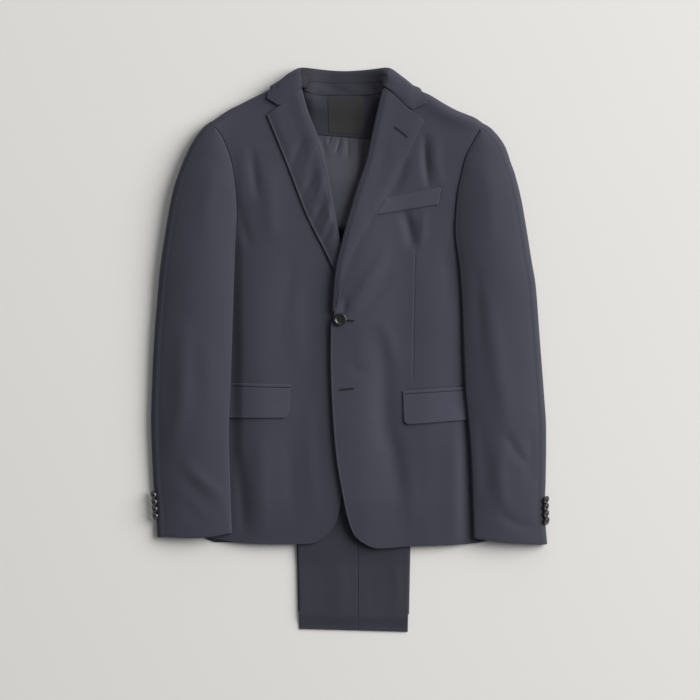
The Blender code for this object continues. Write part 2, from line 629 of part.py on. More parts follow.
def facing():
    high = edge([(x, y - SEAM_GAP - 0.6) for x, y, z in NECK_SEAM])
    low = edge([(-98, 352), (-52, 345), (CENTRE_X, 341.5), (30, 338), (78, 336)])
    rows = patch(low, high, edge([tuple(low(0)), tuple(high(0))]), edge([tuple(low(1)), tuple(high(1))]),
                 even(14), even(6), facing_height)
    return cloth("back_neck_facing", rows, FACING_WALL)


def lining_height(x, y):
    """On the back under the fronts, and swollen up between them."""
    along_y = smoothstep(182, 215, y) * (1 - smoothstep(296, 338, y))
    across = 1 - smoothstep(22, 66, abs(x + 14 + 0.12 * (y - 260)))
    return JACKET_WALL + SEAM_GAP + LINING_WALL / 2 + LINING_SWELL * along_y * across


def lining():
    low = edge([(-92, 176), (76, 176)])
    high = edge([(-98, 351), (-52, 344), (CENTRE_X, 340.5), (30, 337), (78, 335)])
    rows = patch(low, high, edge([tuple(low(0)), tuple(high(0))]), edge([tuple(low(1)), tuple(high(1))]),
                 even(12), even(12), lining_height)
    return cloth("back_lining", rows, LINING_WALL, LINING)


def label():
    low, high = edge([(-34.5, 347.5), (21.5, 345)]), edge([(-35.5, 402), (20.5, 402)])
    rows = patch(low, high, edge([tuple(low(0)), tuple(high(0))]), edge([tuple(low(1)), tuple(high(1))]),
                 even(6), even(6), lambda x, y: facing_height(x, y) + (FACING_WALL + 0.8) / 2 + 0.35)
    return cloth("label_bare", rows, 0.8, LABEL)


# Pockets

def on_front(side, name, corners, wall, columns, row_count, radius=0.0):
    """A piece that lies on a front, from its corners: lower left and right, upper left and right.
    The lower corners are rounded to the radius."""
    front_at = front_height_of(side)
    lower_left, lower_right, upper_left, upper_right = (Vector(c) for c in corners)
    length = (upper_left - lower_left).length
    rows = []
    for v in [0.0, 0.04, 0.12, 0.24] * (radius > 0) + even(row_count)[radius > 0:]:
        start, end = lower_left.lerp(upper_left, v), lower_right.lerp(upper_right, v)
        short = max(0.0, radius - length * v)
        across = (end - start).normalized() * (radius - (radius ** 2 - short ** 2) ** 0.5)
        row = [(start + across).lerp(end - across, u) for u in even(columns)]
        rows.append([Vector((p.x, p.y, front_at(p.x, p.y) + (JACKET_WALL + wall) / 2 + 0.35)) for p in row])
    return cloth(name, rows, wall)


def pockets():
    for side in (LEFT, RIGHT):
        on_front(side, "pocket_flap_" + side, FLAP[side], FLAP_WALL, 10, 2, FLAP_RADIUS)
        on_front(side, "pocket_jet_" + side, JET[side], 1.2, 10, 1)
    on_front(LEFT, "chest_welt", WELT, FLAP_WALL, 8, 2)


# Buttons

def button(name, place, up, diameter, thickness, holes):
    """A turned button: a rimmed disc with its sewing holes, seated at place with its face along up."""
    radius = diameter / 2
    bpy.ops.mesh.primitive_cylinder_add(vertices=28 if holes else 16, radius=radius * MM,
                                        depth=thickness * MM)
    disc = bpy.context.active_object
    disc.name = disc.data.name = name
    bevel = disc.modifiers.new("Rim", "BEVEL")
    bevel.width = thickness * 0.28 * MM
    bevel.segments = 2 if holes else 1
    bevel.limit_method = "ANGLE"
    cutters = []
    bpy.ops.mesh.primitive_cylinder_add(vertices=20 if holes else 12, radius=radius * 0.62 * MM, depth=2 * MM,
                                        location=(0, 0, (thickness / 2 + 1 - 0.5) * MM))
    cutters.append(bpy.context.active_object)
    for k in range(holes):
        turn = pi / 4 + k * 2 * pi / holes
        bpy.ops.mesh.primitive_cylinder_add(
            vertices=8, radius=radius * 0.1 * MM, depth=thickness * 2 * MM,
            location=(radius * 0.23 * cos(turn) * MM, radius * 0.23 * sin(turn) * MM, 0))
        cutters.append(bpy.context.active_object)
    turn = Vector(up).to_track_quat("Z", "Y")
    for k, cutter in enumerate(cutters):
        cutter.name = name + "_cutter_" + str(k)
        cutter.hide_render = True
        cutter.display_type = "WIRE"
        cut = disc.modifiers.new("Cut", "BOOLEAN")
        cut.operation = "DIFFERENCE"
        cut.solver = "EXACT"
        cut.object = cutter
        CUTTERS.objects.link(cutter)
        for other in list(cutter.users_collection):
            if other != CUTTERS:
                other.objects.unlink(cutter)
        cutter.location = Vector(place) * MM + turn @ cutter.location
        cutter.rotation_mode = "QUATERNION"
        cutter.rotation_quaternion = turn
    disc.location = Vector(place) * MM
    disc.rotation_mode = "QUATERNION"
    disc.rotation_quaternion = turn
    return finish(disc, HORN, smooth=False)


def front_button():
    x, y = FRONT_BUTTON
    height = front_height_of(LEFT)
    slope_x = (height(x + 6, y) - height(x - 6, y)) / 12
    slope_y = (height(x, y + 6) - height(x, y - 6)) / 12
    diameter, thickness = BUTTON_FRONT
    lift = (JACKET_WALL + thickness) / 2 + 0.55
    return button("front_button", (x, y, height(x, y) + lift), (-slope_x, -slope_y, 1),
                  diameter, thickness, 4)


def cuff_buttons(side):
    """Four at the outer edge above the cuff, each lying on the next one down."""
    sign = 1 if side == LEFT else -1
    inner, outer = sleeve_edges(side)
    line = [outer(t) for t in even(400)]
    for k in range(CUFF_BUTTONS):
        y = CUFF_BUTTON_Y[side] + k * CUFF_BUTTON_PITCH
        p = min(line, key=lambda q: abs(q.y - y))
        top = along(SLEEVE, y, "outer")
        drop = (top - BACK_MID) / 2
        bulge = Vector((sign * SLEEVE_ROLL * sin(CUFF_BUTTON_TURN), 0, -drop * (1 - cos(CUFF_BUTTON_TURN))))
        out = Vector((sign * sin(CUFF_BUTTON_TURN) / SLEEVE_ROLL, 0, cos(CUFF_BUTTON_TURN) / drop))
        out.normalize()
        tilt = CUFF_BUTTON_TILT
        up = out * cos(tilt) + Vector((0, -1, 0)) * sin(tilt)
        diameter, thickness = BUTTON_CUFF
        reach = JACKET_WALL * 0.45 + 0.7 + thickness / 2 + diameter / 2 * sin(tilt)
        place = Vector((p.x, y, top)) + bulge + out * reach
        button("cuff_button_" + side + "_" + str(k + 1), place, up, diameter, thickness, 0)


# Trousers

def leg_panel(name, layer, sign):
    """Half of a leg: from the outseam on top, round the pressed crease, to the inseam below."""
    lower = layer == 0
    hem_y = TROUSER_HEM_Y + (UNDER_LEG_SHIFT if lower else 0)
    grow = 1.6 if lower else 0.0
    lift = 0.0 if lower else LEG_STEP
    roll = LEG_RING * 0.6
    top_y = TROUSER_FOLD_Y - SEAM_GAP

    def hem_at(x):
        return hem_y + HEM_SLOPE * (x - TROUSER_CENTRE_X)

    def base(x, y):
        drop = 1.0 if lower else smoothstep(TROUSER_HEM_Y + 3, TROUSER_HEM_Y + UNDER_LEG_SHIFT - 3,
                                            y - HEM_SLOPE * (x - TROUSER_CENTRE_X))
        return leg_base(y) + lift * drop + TROUSER_WALL / 2

    def crease(y):
        return TROUSER_CENTRE_X + sign * (along(LEG, y, "half_width") + grow - roll - TROUSER_WALL / 2)

    ys = [hem_y, *(y for y in LEG_ROWS if y > hem_y + 4), top_y]
    start = OUTSEAM_X + sign * SEAM_GAP / 2
    columns = []
    for share in even(3):
        column = []
        for y in ys:
            x = start + (crease(y) - start) * share
            y += (hem_at(x) - hem_y) * smoothstep(-360, -425, y)
            column.append(Vector((x, y, base(x, y) + LEG_RING)))
        columns.append(column)
    columns = rolled(columns, lambda i: roll, lambda i: LEG_RING, lambda i: pi, 3)
    turn = columns[-1]
    for share in (0.5, 1.0):
        added = []
        for i, p in enumerate(turn):
            goal = columns[0][i]
            x, y = p.x + (goal.x - p.x) * share, p.y + (goal.y - p.y) * share
            added.append(Vector((x, y, base(x, y))))
        columns.append(added)
    return cloth(name, columns, TROUSER_WALL)


def folded_seat():
    """The hidden upper part: the layers of the seat as one solid, with the fold that joins the legs."""
    length = TROUSER_FOLD_Y + 5 - (WAIST_Y + WAISTBAND + SEAM_GAP)
    bpy.ops.mesh.primitive_grid_add(x_subdivisions=2, y_subdivisions=6)
    slab = bpy.context.active_object
    slab.name = slab.data.name = "trousers_seat"
    for vertex in slab.data.vertices:
        y = WAIST_Y + WAISTBAND + SEAM_GAP + (vertex.co.y + 1) / 2 * length
        half = along(SEAT, y, "half_width")
        vertex.co = Vector((TROUSER_CENTRE_X + vertex.co.x * half, y, (SEAT_BOTTOM + SEAT_TOP) / 2)) * MM
    wall = slab.modifiers.new("Layers", "SOLIDIFY")
    wall.thickness = (SEAT_TOP - SEAT_BOTTOM) * MM
    wall.offset = 0
    depth, rise = 11.0, SEAT_TOP + SEAM_GAP + 2 * LEG_STEP - SEAT_BOTTOM
    bpy.ops.mesh.primitive_cube_add(
        location=(TROUSER_CENTRE_X * MM, (TROUSER_FOLD_Y + depth / 2) * MM, (SEAT_BOTTOM + rise / 2) * MM))
    fold = bpy.context.active_object
    fold.name = "trousers_fold_shape"
    fold.scale = (131 * MM, depth / 2 * MM, rise / 2 * MM)
    soft = fold.modifiers.new("Soft", "BEVEL")
    soft.width = 0.0035
    soft.segments = 2
    bpy.context.view_layer.objects.active = fold
    bpy.ops.object.transform_apply(location=True, rotation=True, scale=True)
    fold.hide_render = True
    fold.display_type = "WIRE"
    for other in list(fold.users_collection):
        other.objects.unlink(fold)
    CUTTERS.objects.link(fold)
    edges = slab.modifiers.new("Edges", "BEVEL")
    edges.width = 0.0018
    edges.segments = 1
    join = slab.modifiers.new("Fold", "BOOLEAN")
    join.operation = "UNION"
    join.solver = "EXACT"
    join.object = fold
    return finish(slab, CLOTH, smooth=False)


def waistband():
    half = [along(SEAT, y, "half_width") for y in (WAIST_Y, WAIST_Y + WAISTBAND)]
    low = edge([(TROUSER_CENTRE_X - half[0], WAIST_Y), (TROUSER_CENTRE_X + half[0], WAIST_Y)])
    high = edge([(TROUSER_CENTRE_X - half[1], WAIST_Y + WAISTBAND),
                 (TROUSER_CENTRE_X + half[1], WAIST_Y + WAISTBAND)])
    rows = patch(low, high, edge([tuple(low(0)), tuple(high(0))]), edge([tuple(low(1)), tuple(high(1))]),
                 even(2), even(1), lambda x, y: (SEAT_BOTTOM + SEAT_TOP) / 2)
    band = cloth("trousers_waistband", rows, SEAT_TOP - SEAT_BOTTOM)
    soft = band.modifiers.new("Edges", "BEVEL")
    soft.width = 0.0016
    soft.segments = 2
    return band


def build():
    for side in (LEFT, RIGHT):
        back(side)
        side_body(side)
        front(side)
        sleeve_upper(side)
        sleeve_under(side)
        lapel(side)
        cuff_buttons(side)
    collar()
    stand()
    facing()
    lining()
    label()
    pockets()
    front_button()
    for layer, name in enumerate(("under", "upper")):
        leg_panel("leg_" + name + "_front", layer, 1)
        leg_panel("leg_" + name + "_back", layer, -1)
    folded_seat()
    waistband()


for old in list(bpy.data.objects):
    bpy.data.objects.remove(old, do_unlink=True)
SUIT = bpy.data.collections.new("suit")
CUTTERS = bpy.data.collections.new("cutters")
bpy.context.scene.collection.children.link(SUIT)
bpy.context.scene.collection.children.link(CUTTERS)
build()
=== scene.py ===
# The looks of a two-piece suit laid flat on its back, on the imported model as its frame.
# Lengths are in millimetres until a mesh is made. X runs across the garment, Y towards the collar,
# Z up from the floor. Left and right are the wearer's, so left is at +X.

import bmesh
import bpy
import numpy as np
from collections import namedtuple
from math import cos, pi, radians, sin
from mathutils import Matrix, Vector


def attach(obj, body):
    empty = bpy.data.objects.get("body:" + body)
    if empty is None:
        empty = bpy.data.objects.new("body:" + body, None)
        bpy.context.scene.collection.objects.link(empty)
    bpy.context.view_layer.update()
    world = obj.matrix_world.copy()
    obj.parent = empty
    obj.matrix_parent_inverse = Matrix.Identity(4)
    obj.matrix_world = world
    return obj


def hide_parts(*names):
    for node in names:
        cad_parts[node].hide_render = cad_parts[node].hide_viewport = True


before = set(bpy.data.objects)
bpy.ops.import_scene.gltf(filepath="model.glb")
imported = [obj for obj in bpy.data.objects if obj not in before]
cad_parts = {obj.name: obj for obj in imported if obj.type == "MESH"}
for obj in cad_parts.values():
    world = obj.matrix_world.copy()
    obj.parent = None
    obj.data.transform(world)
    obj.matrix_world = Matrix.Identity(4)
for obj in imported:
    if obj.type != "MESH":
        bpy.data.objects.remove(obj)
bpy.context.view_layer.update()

MM = 0.001

# Driving dimensions
CENTRE_X = -8.0            # the jacket's centre line; the trousers reach further to one side
SIDE_FOLD = 248.0          # from the centre line to the fold at each side of the body
SIDE_ROLL = 8.0            # how far the cloth bulges there
HEM_Y = -308.0             # hem of the back
UNDERARM_Y = 152.0
BACK_SEAM = 208.0          # from the centre line to the seam of the back with the side body
SEAM_GAP = 0.4             # between two pieces at a seam
NECK_GAP = 0.35            # and at the neck, where the seams hardly show
LAID_GAP = 0.35            # under a piece that lies on another
JACKET_WALL = 2.0          # wool, fusing and facing
SLEEVE_WALL = 1.8          # and of the lapels
FACING_WALL = 1.2
LINING_WALL = 1.0
FLAP_WALL = 1.6
JET_WALL = 1.2
LABEL_WALL = 0.35
COLLAR_WALL = 1.6
TROUSER_WALL = 1.1
LEG_RING = 1.5             # between the middles of a leg's two walls where it is pressed flat
LEG_STEP = 3.0             # from the underside of one leg to that of the leg on it
BACK_MID = JACKET_WALL / 2  # middle of a wall that lies on the surface
SHOULDER_ROLL = 10.0       # how far the cloth bulges past its edge as it turns under
SLEEVE_ROLL = 10.0         # the same for a sleeve's outer edge
SLEEVE_LIP = 2.4           # and for its edge along the armhole
SLEEVE_SET = 1.15          # from the seam to the middle of that edge's wall
LAPEL_ROLL = 2.5           # how far a lapel bulges past its roll line
LAPEL_LIFT = 2.2           # air under a lapel's outer edge
LAPEL_SPRING = 1.0         # the further lift near its roll
ROLL_FALL = {"left": 2.2, "right": 1.3}  # and the fall where it turns over
LAPEL_PRESS = 1.7          # how far a lapel's outer edge is pressed down, but for its lower end
EDGE_BEAD = 0.5            # height of the ridge along a turned and pressed edge
EDGE_COLUMNS = (0, 0.003, 0.006, 0.010, 0.015, 0.022, 0.030)  # close columns there, as shares
BEAD_INSET = 0.9           # from the edge to the top of that ridge
GROOVE = 0.9               # half width of a sewn seam's groove
SEAM_CUTS = (-1.8, -0.7, 0.0, 0.7, 1.8)  # where the cloth is cut to make it, from the seam
LINING_SWELL = 13.0        # how far the back lining stands up between the fronts
STAND_RIPPLE = 0.6         # height of the collar stand's ripples
BACK_NECK_Y = 404.0        # top of the back
NECK_LIFT = 2.4            # how far the collar folded under the neck lifts the back
FLAP_RADIUS = 9.0          # of a flap's lower corners
FLAP_LIFT = 2.6            # how far a flap lifts the sleeve that lies over it
CUFF_BUTTONS = 4           # on each sleeve

TROUSER_FOLD_Y = 158.0     # the trousers fold under here, above the knee
TROUSER_HEM_Y = -449.0
HEM_SLOPE = -0.028         # rise of the trouser hems towards +X
TROUSER_CENTRE_X = 5.8
OUTSEAM_X = 12.8
UNDER_LEG_SHIFT = 28.0     # the leg beneath ends this much higher
SEAT_TOP = 7.75            # of the folded seat, over the surface

CURVE_STEPS = 10           # points to each stretch of a smooth curve
TURN_STEPS = 12            # rows in a turned edge

# Height of the fronts' cloth over the surface, from the hem to the collar
Body = namedtuple("Body", "y centre side overlap")
BODY = [
    Body(-320, 11.5, 5.6, 5.4),
    Body(-240, 15.6, 6.2, 7.4),
    Body(-120, 16.4, 7.4, 8.4),
    Body(0, 17.0, 8.8, 8.4),
    Body(60, 18.0, 9.8, 8.8),
    Body(120, 19.4, 11.6, 8.8),
    Body(200, 20.6, 15.4, 8.2),
    Body(270, 22.0, 20.5, 3.6),
    Body(340, 22.6, 23.6, 0.6),
    Body(400, 21.6, 22.6, 0.0),
    Body(450, 18.0, 18.0, 0.0),
]

# Height of a sleeve at its inner edge, along its crown and at its outer edge
Sleeve = namedtuple("Sleeve", "y inner crown outer")
SLEEVE = [
    Sleeve(-320, 15.2, 18.0, 12.6),
    Sleeve(-200, 17.2, 22.4, 13.6),
    Sleeve(-80, 18.8, 25.2, 15.2),
    Sleeve(50, 19.2, 27.4, 17.6),
    Sleeve(150, 20.0, 29.2, 20.6),
    Sleeve(216, 21.4, 30.0, 22.6),
    Sleeve(270, 24.0, 30.2, 24.2),
    Sleeve(320, 25.2, 28.2, 25.0),
    Sleeve(354, 24.2, 24.6, 24.2),
]

# A leg pressed on its creases, from the hem to the fold
Leg = namedtuple("Leg", "y half_width")
LEG = [Leg(-450, 86.8), Leg(-300, 89.6), Leg(-70, 108.0), Leg(160, 131.0)]

# Outlines in plan. Each list is one edge of a piece, with only the points that its shape needs.
LEFT, RIGHT = "left", "right"
SIGN = {LEFT: 1, RIGHT: -1}
FRONT_EDGE = {
    LEFT: [(18.7, -306.4), (4.8, -291.5), (-5.3, -261.6), (-13.3, -221.6), (-21.3, -173.6),
           (-27.2, -107.5), (-30.7, -27.5), (-30.4, 40)],
    RIGHT: [(-56, -308), (-35, -293.6), (-22, -272.8), (-14.4, -241), (-6, -200), (1, -150),
            (3, -80), (3.5, 46)],
}
ROLL_LINE = {
    LEFT: [(-29, 62), (-24, 125.6), (-12, 179.2), (0, 223.2), (12, 263.2), (25.6, 303.2),
           (36, 351.2), (48, 403.2), (53.5, 420)],
    RIGHT: [(3.5, 72), (-3, 112), (-15, 173.6), (-28, 243.2), (-38.4, 299.2), (-52, 343.2),
            (-66, 379.2), (-75.5, 413), (-76.5, 418)],
}
HEM = {
    LEFT: [(34.7, -315.5), (52.8, -317.3), (96, -314.5), (160, -312.5), (204, -309)],
    RIGHT: [(-80, -310.5), (-120, -311), (-157, -310), (-187, -307.5), (-220, -302)],
}
SIDE_SEAM = {LEFT: [(204, -309), (199, -60), (199, 60), (203, 150)],
             RIGHT: [(-220, -302), (-215, -60), (-215, 60), (-219, 150)]}
ARMHOLE = {
    LEFT: [(203, 152), (187, 162), (172, 185), (168, 216.3), (171.2, 253), (177.1, 280.3),
           (184, 308), (198.9, 337.4), (208, 352.5)],
    RIGHT: [(-219, 152), (-202, 162), (-185, 183), (-180.8, 212.5), (-181.5, 245), (-185.3, 278),
            (-190.7, 305), (-203, 338), (-215.3, 356.3)],
}
SHOULDER = {
    LEFT: [(62, 420), (88, 418.5), (108, 415.5), (121.6, 411), (131.2, 406.2), (150.4, 394.4),
           (169.6, 384), (188.8, 376.2), (201, 371), (214, 363)],
    RIGHT: [(-84, 421), (-106, 421), (-124, 418.5), (-137.6, 412.2), (-156.8, 402.9), (-176, 393),
            (-195.2, 383.4), (-221, 366)],
}
LAPEL_EDGE = {
    LEFT: [(-20.5, 70), (-14.4, 95.2), (3.2, 140), (24, 183.2), (44.8, 218.4), (60.8, 245.6),
           (92.8, 303.2), (120.5, 362)],
    RIGHT: [(-6, 77), (-24, 124.5), (-43.2, 164.5), (-56, 188.5), (-73.6, 226), (-100, 295),
            (-132.8, 375.7)],
}
LAPEL_TOP = {
    LEFT: [(75, 403.5), (96.8, 383.2), (110, 375), (120.5, 362)],
    RIGHT: [(-94.4, 406), (-112.8, 390.4), (-123, 383), (-132.8, 375.7)],
}
# A sleeve's inner edge follows the armhole down to its sixth point
SLEEVE_INNER = {
    LEFT: ARMHOLE[LEFT][:2:-1] + [(168, 182), (173.8, 136.3), (178.2, 79.2), (183, -48.8),
                                  (188, -107.5), (193.3, -187.5), (197.3, -301.6)],
    RIGHT: ARMHOLE[RIGHT][:2:-1] + [(-183.5, 159), (-187, 52.5), (-190.7, -56.8), (-193.3, -128.8),
                                    (-192, -195.5), (-188.5, -292.8)],
}
SLEEVE_OUTER = {
    LEFT: [(214.6, 361.45), (228.5, 351.5), (246.4, 328.3), (256.8, 300), (264.6, 277.6),
           (275.4, 232.8), (290.2, 143.2), (297.3, 98.4), (304.1, 8.8), (311, -80.8),
           (313.6, -125.6), (313, -205), (311.4, -257), (315.4, -311)],
    RIGHT: [(-222.2, 365.6), (-237.5, 352.5), (-257.2, 322.4), (-275.7, 277.6), (-287.6, 232.8),
            (-301.9, 143.2), (-306.5, 98.4), (-313.6, 8.8), (-317.3, -80.8), (-317.9, -125.6),
            (-314.6, -205), (-310.4, -249), (-308, -299.8)],
}
CUFF_MIDDLE = {LEFT: (246, -308.2), RIGHT: (-240, -300.8)}
BACK_ARMHOLE = {LEFT: [(200, 152), (191, 190), (187, 250), (191, 305), (203, 343)],
                RIGHT: [(-216, 152), (-205, 190), (-198, 250), (-201, 305), (-211.5, 347)]}
NECK_SEAM = [(-76, 415.0, 20.6), (-69, 413.5, 21.2), (-63, 411, 17.5), (-54, 409, 11.0),
             (-36, 408.3, 6.6), (CENTRE_X, 408.3, 5.7), (20, 408.3, 6.6), (38, 409, 11.0),
             (46, 411, 17.5), (50.0, 413.3, 21.0), (56, 415.2, 20.4)]
FACING_HEM = [(-98, 352), (-52, 345), (CENTRE_X, 341.5), (30, 338), (78, 336)]

# The collar's ribs from the centre back to its end. Each runs from its seam on the stand, over the
# roll, to the free edge of the fall. Where a rib lies on the lapel its height is left to that.
COLLAR_RIBS = {
    LEFT: [
        [(-8, 427, 5.2), (-8, 436, 5.3), (-8, 443.2, 5.0), (-8, 446.0, 3.0),
         (-8, 443.0, 1.0), (-8, 422, 0.9), (-8, 402, 0.9)],
        [(18, 427.3, 5.8), (18.5, 437, 6.0), (19, 444.8, 5.7), (19.5, 447.3, 3.3),
         (20, 444.4, 1.0), (21, 422, 0.9), (22, 401.5, 0.9)],
        [(36, 428.5, 9.5), (38, 439, 10.7), (40.5, 447.0, 10.5), (42.5, 449.6, 6.6),
         (44, 446.5, 2.2), (47, 423, 1.0), (50, 400.5, 0.9)],
        [(47.0, 428.5, 15.5), (50.5, 438, 18.0), (55, 446.5, 18.5), (61.5, 450.8, 14.3),
         (63.0, 446, 6.5), (70, 424, 1.2), (77, 400, 0.9)],
        [(50.3, 424.5, 19.5), (53, 433, 22.3), (59, 441, 24.0), (70.5, 443.0, 21.5),
         (80.5, 438.2, 13.5), (90, 423.6, 3.6), (96, 402, 0.9)],
        [(51.3, 421, 21.5), (54, 427.5, 24.2), (63, 433, 26.0), (80, 435, 23.6),
         (93, 429.4, 16.5), (103, 420.5, 7.5), (107, 411.5, 1.6)],
        [(51.6, 420, 22.2), (54, 425.5, 24.7), (64, 428.5, 26.4), (82, 429, 25.0),
         (96, 425, 20.0), (105.5, 421, 14.0), (110.3, 418.9, 10.5)],
        [(52.0, 419.6, 23.0), (54, 423.4, 25.2), (65, 424, 26.8), (84, 422, 26.2),
         (99, 419.5, 24.2), (108.5, 417.5, 21.5), (114, 414.5, 20.3)],
        [(52.3, 419.4, 23.5), (54.8, 422.0, 26.0), (66, 416, 27.2), (82, 408.5, 27.0),
         (98, 402.5, 26.2), (110, 403, 25.0), (119.6, 405, 23.8)],
        [(52.4, 419.9, 23.9), (56.0, 422.0, None), (66.9, 411.9, None), (82.4, 398.0, None),
         (97.5, 385.3, None), (110, 389, None), (122.4, 393.8, None)],
    ],
    RIGHT: [
        [(-34, 427.3, 5.8), (-34.5, 437, 6.0), (-35, 444.8, 5.7), (-35.5, 447.3, 3.3),
         (-36, 444.4, 1.0), (-37, 422, 0.9), (-38, 401.5, 0.9)],
        [(-52, 428.5, 9.5), (-54.5, 439, 10.7), (-57.5, 447.3, 10.5), (-59.5, 449.9, 6.6),
         (-61, 446.8, 2.2), (-63, 423, 1.0), (-66, 400.5, 0.9)],
        [(-64, 428.5, 15.5), (-68, 438.3, 18.0), (-72.5, 446.9, 18.5), (-79.0, 450.9, 14.3),
         (-80.5, 446.5, 6.5), (-87, 424, 1.2), (-94, 400, 0.9)],
        [(-67.3, 424.5, 19.5), (-71, 433.5, 22.3), (-77, 442, 24.0), (-88.5, 445.4, 21.5),
         (-98.5, 440.5, 13.5), (-108, 426.5, 3.6), (-114, 403, 0.9)],
        [(-68.8, 421.5, 21.5), (-73, 429, 24.2), (-81.5, 435.5, 26.0), (-98, 437.5, 23.6),
         (-110.5, 432, 16.5), (-119.7, 425.6, 7.2), (-123.8, 416, 1.25)],
        [(-69.3, 420.5, 22.2), (-73.5, 426.5, 24.7), (-82.3, 431, 26.4), (-99.5, 432.5, 25.0),
         (-113, 428.8, 20.0), (-121.8, 425, 14.0), (-126.3, 422.5, 10.5)],
        [(-70.5, 419.8, 23.0), (-74, 424, 25.2), (-83, 426.5, 26.8), (-101, 426, 26.2),
         (-115, 424.5, 24.2), (-123.5, 421.8, 21.5), (-128.3, 418, 20.3)],
        [(-71.6, 419.0, 23.6), (-76, 421.6, 26.0), (-86, 418.5, 27.2), (-102, 412.5, 27.0),
         (-115.5, 408.5, 26.2), (-125, 409.5, 25.0), (-131, 410.5, 23.8)],
        [(-72.6, 418.6, 24.0), (-77.6, 418.6, None), (-87.7, 411.1, None), (-100.7, 401.0, None),
         (-113.4, 391.8, None), (-123.5, 396.7, None), (-132.6, 402.0, None)],
    ],
}
# Corners of the pockets' pieces: lower left and right, upper left and right
FLAP = {LEFT: [(86.5, -119.5), (232, -108), (84.5, -71.5), (232, -62)],
        RIGHT: [(-236, -108.3), (-98, -108.3), (-236, -57.5), (-95, -61)]}
JET = {LEFT: [(84, -70.6), (232, -61.2), (84, -65.4), (232, -56.2)],
       RIGHT: [(-236, -56.6), (-94.5, -60), (-236, -51.6), (-94.5, -55)]}
WELT = [(44.5, 216.5), (141, 232.8), (53.5, 242.3), (145.3, 260)]

# Folds in the cloth: a soft ridge along the points, or a trough where depth is below 0, that dies
# out at its ends
Fold = namedtuple("Fold", "points width depth")
BODY_FOLDS = {
    LEFT: [
        Fold([(119, 348), (121, 300), (126, 256)], 6.2, -3.6),
        Fold([(137, 350), (138, 300), (146, 262)], 8, 1.5),
        Fold([(92, 306), (76, 268), (58, 238)], 9, -2.6),
        Fold([(84, 226), (93, 200), (101, 160)], 9, -4.2),
        Fold([(117, 228), (117, 196), (111, 158)], 7, 1.4),
        Fold([(-15, 50), (-10, 66), (-6, 86)], 5.5, -2.4),
        Fold([(-2, 62), (12, 88), (42, 130), (64, 170)], 9, 2.2),
        Fold([(6, 46), (38, 84), (70, 122)], 9, -1.8),
        Fold([(44, 46), (62, 20), (70, -30)], 9, 1.2),
        Fold([(30, 44), (46, 4), (53, -30), (54, -75), (58, -130), (70, -170), (82, -250)],
             17, -4.0),
        Fold([(40, 0), (44, -80), (48, -150), (60, -240)], 34, -2.6),
        Fold([(84, -130), (92, -200), (104, -290)], 14, 1.4),
        Fold([(172, -90), (172, -210), (170, -330)], 24, 4.2),
        Fold([(2, -20), (16, -36), (30, -28)], 9, -1.0),
        Fold([(150, 180), (158, 120), (160, 60)], 12, -1.2),
    ],
    RIGHT: [
        Fold([(-157, 326), (-153, 280), (-147, 240)], 8, -2.4),
        Fold([(-132, 300), (-128, 240), (-124, 170)], 13, 1.6),
        Fold([(-178, 240), (-172, 200), (-160, 160)], 9, -1.8),
        Fold([(-92, 150), (-96, 110), (-104, 60)], 10, -0.9),
        Fold([(-84, 120), (-86, 60), (-82, -30)], 14, 1.2),
        Fold([(-148, 330), (-156, 150), (-160, -60), (-150, -300)], 58, 7.0),
        Fold([(-34, 80), (-34, -60), (-28, -160), (-18, -250)], 22, 1.7),
        Fold([(-184, -160), (-176, -220), (-170, -300)], 12, -3.4),
        Fold([(-144, -130), (-142, -210), (-136, -300)], 14, 1.3),
        Fold([(-98, -110), (-96, -190), (-90, -280)], 13, -1.2),
        Fold([(-66, -70), (-64, -150), (-58, -270)], 11, 1.0),
        Fold([(-186, 40), (-184, 0), (-182, -40)], 9, -1.4),
    ],
}
CLEAR_OF_SLEEVE = {LEFT: 176, RIGHT: 162}  # from the centre line to where these die out
# Along the shoulders, where the others have died out
SHOULDER_FOLDS = {
    LEFT: [Fold([(112, 402), (136, 388), (160, 376), (182, 366), (204, 352)], 13, 3.0)],
    RIGHT: [Fold([(-124, 408), (-150, 394), (-176, 380), (-198, 368), (-214, 356)], 15, -3.0)],
}
LAPEL_FOLDS = {
    LEFT: [
        Fold([(62, 350), (70, 300), (60, 262)], 12, 0.7),
        Fold([(30, 232), (36, 200), (24, 160)], 8, -0.7),
    ],
    RIGHT: [
        Fold([(-72, 342), (-84, 318), (-94, 288)], 7.5, -2.0),
        Fold([(-60, 330), (-66, 306), (-76, 280)], 6.5, 1.3),
        Fold([(-52, 290), (-64, 268), (-78, 242)], 6.5, -2.0),
        Fold([(-42, 282), (-48, 258), (-60, 232)], 6.0, 1.5),
        Fold([(-36, 246), (-48, 224), (-62, 198)], 6.0, -2.1),
        Fold([(-28, 236), (-34, 212), (-46, 188)], 5.5, 1.5),
        Fold([(-26, 202), (-36, 186), (-46, 172)], 5.0, -1.8),
    ],
}
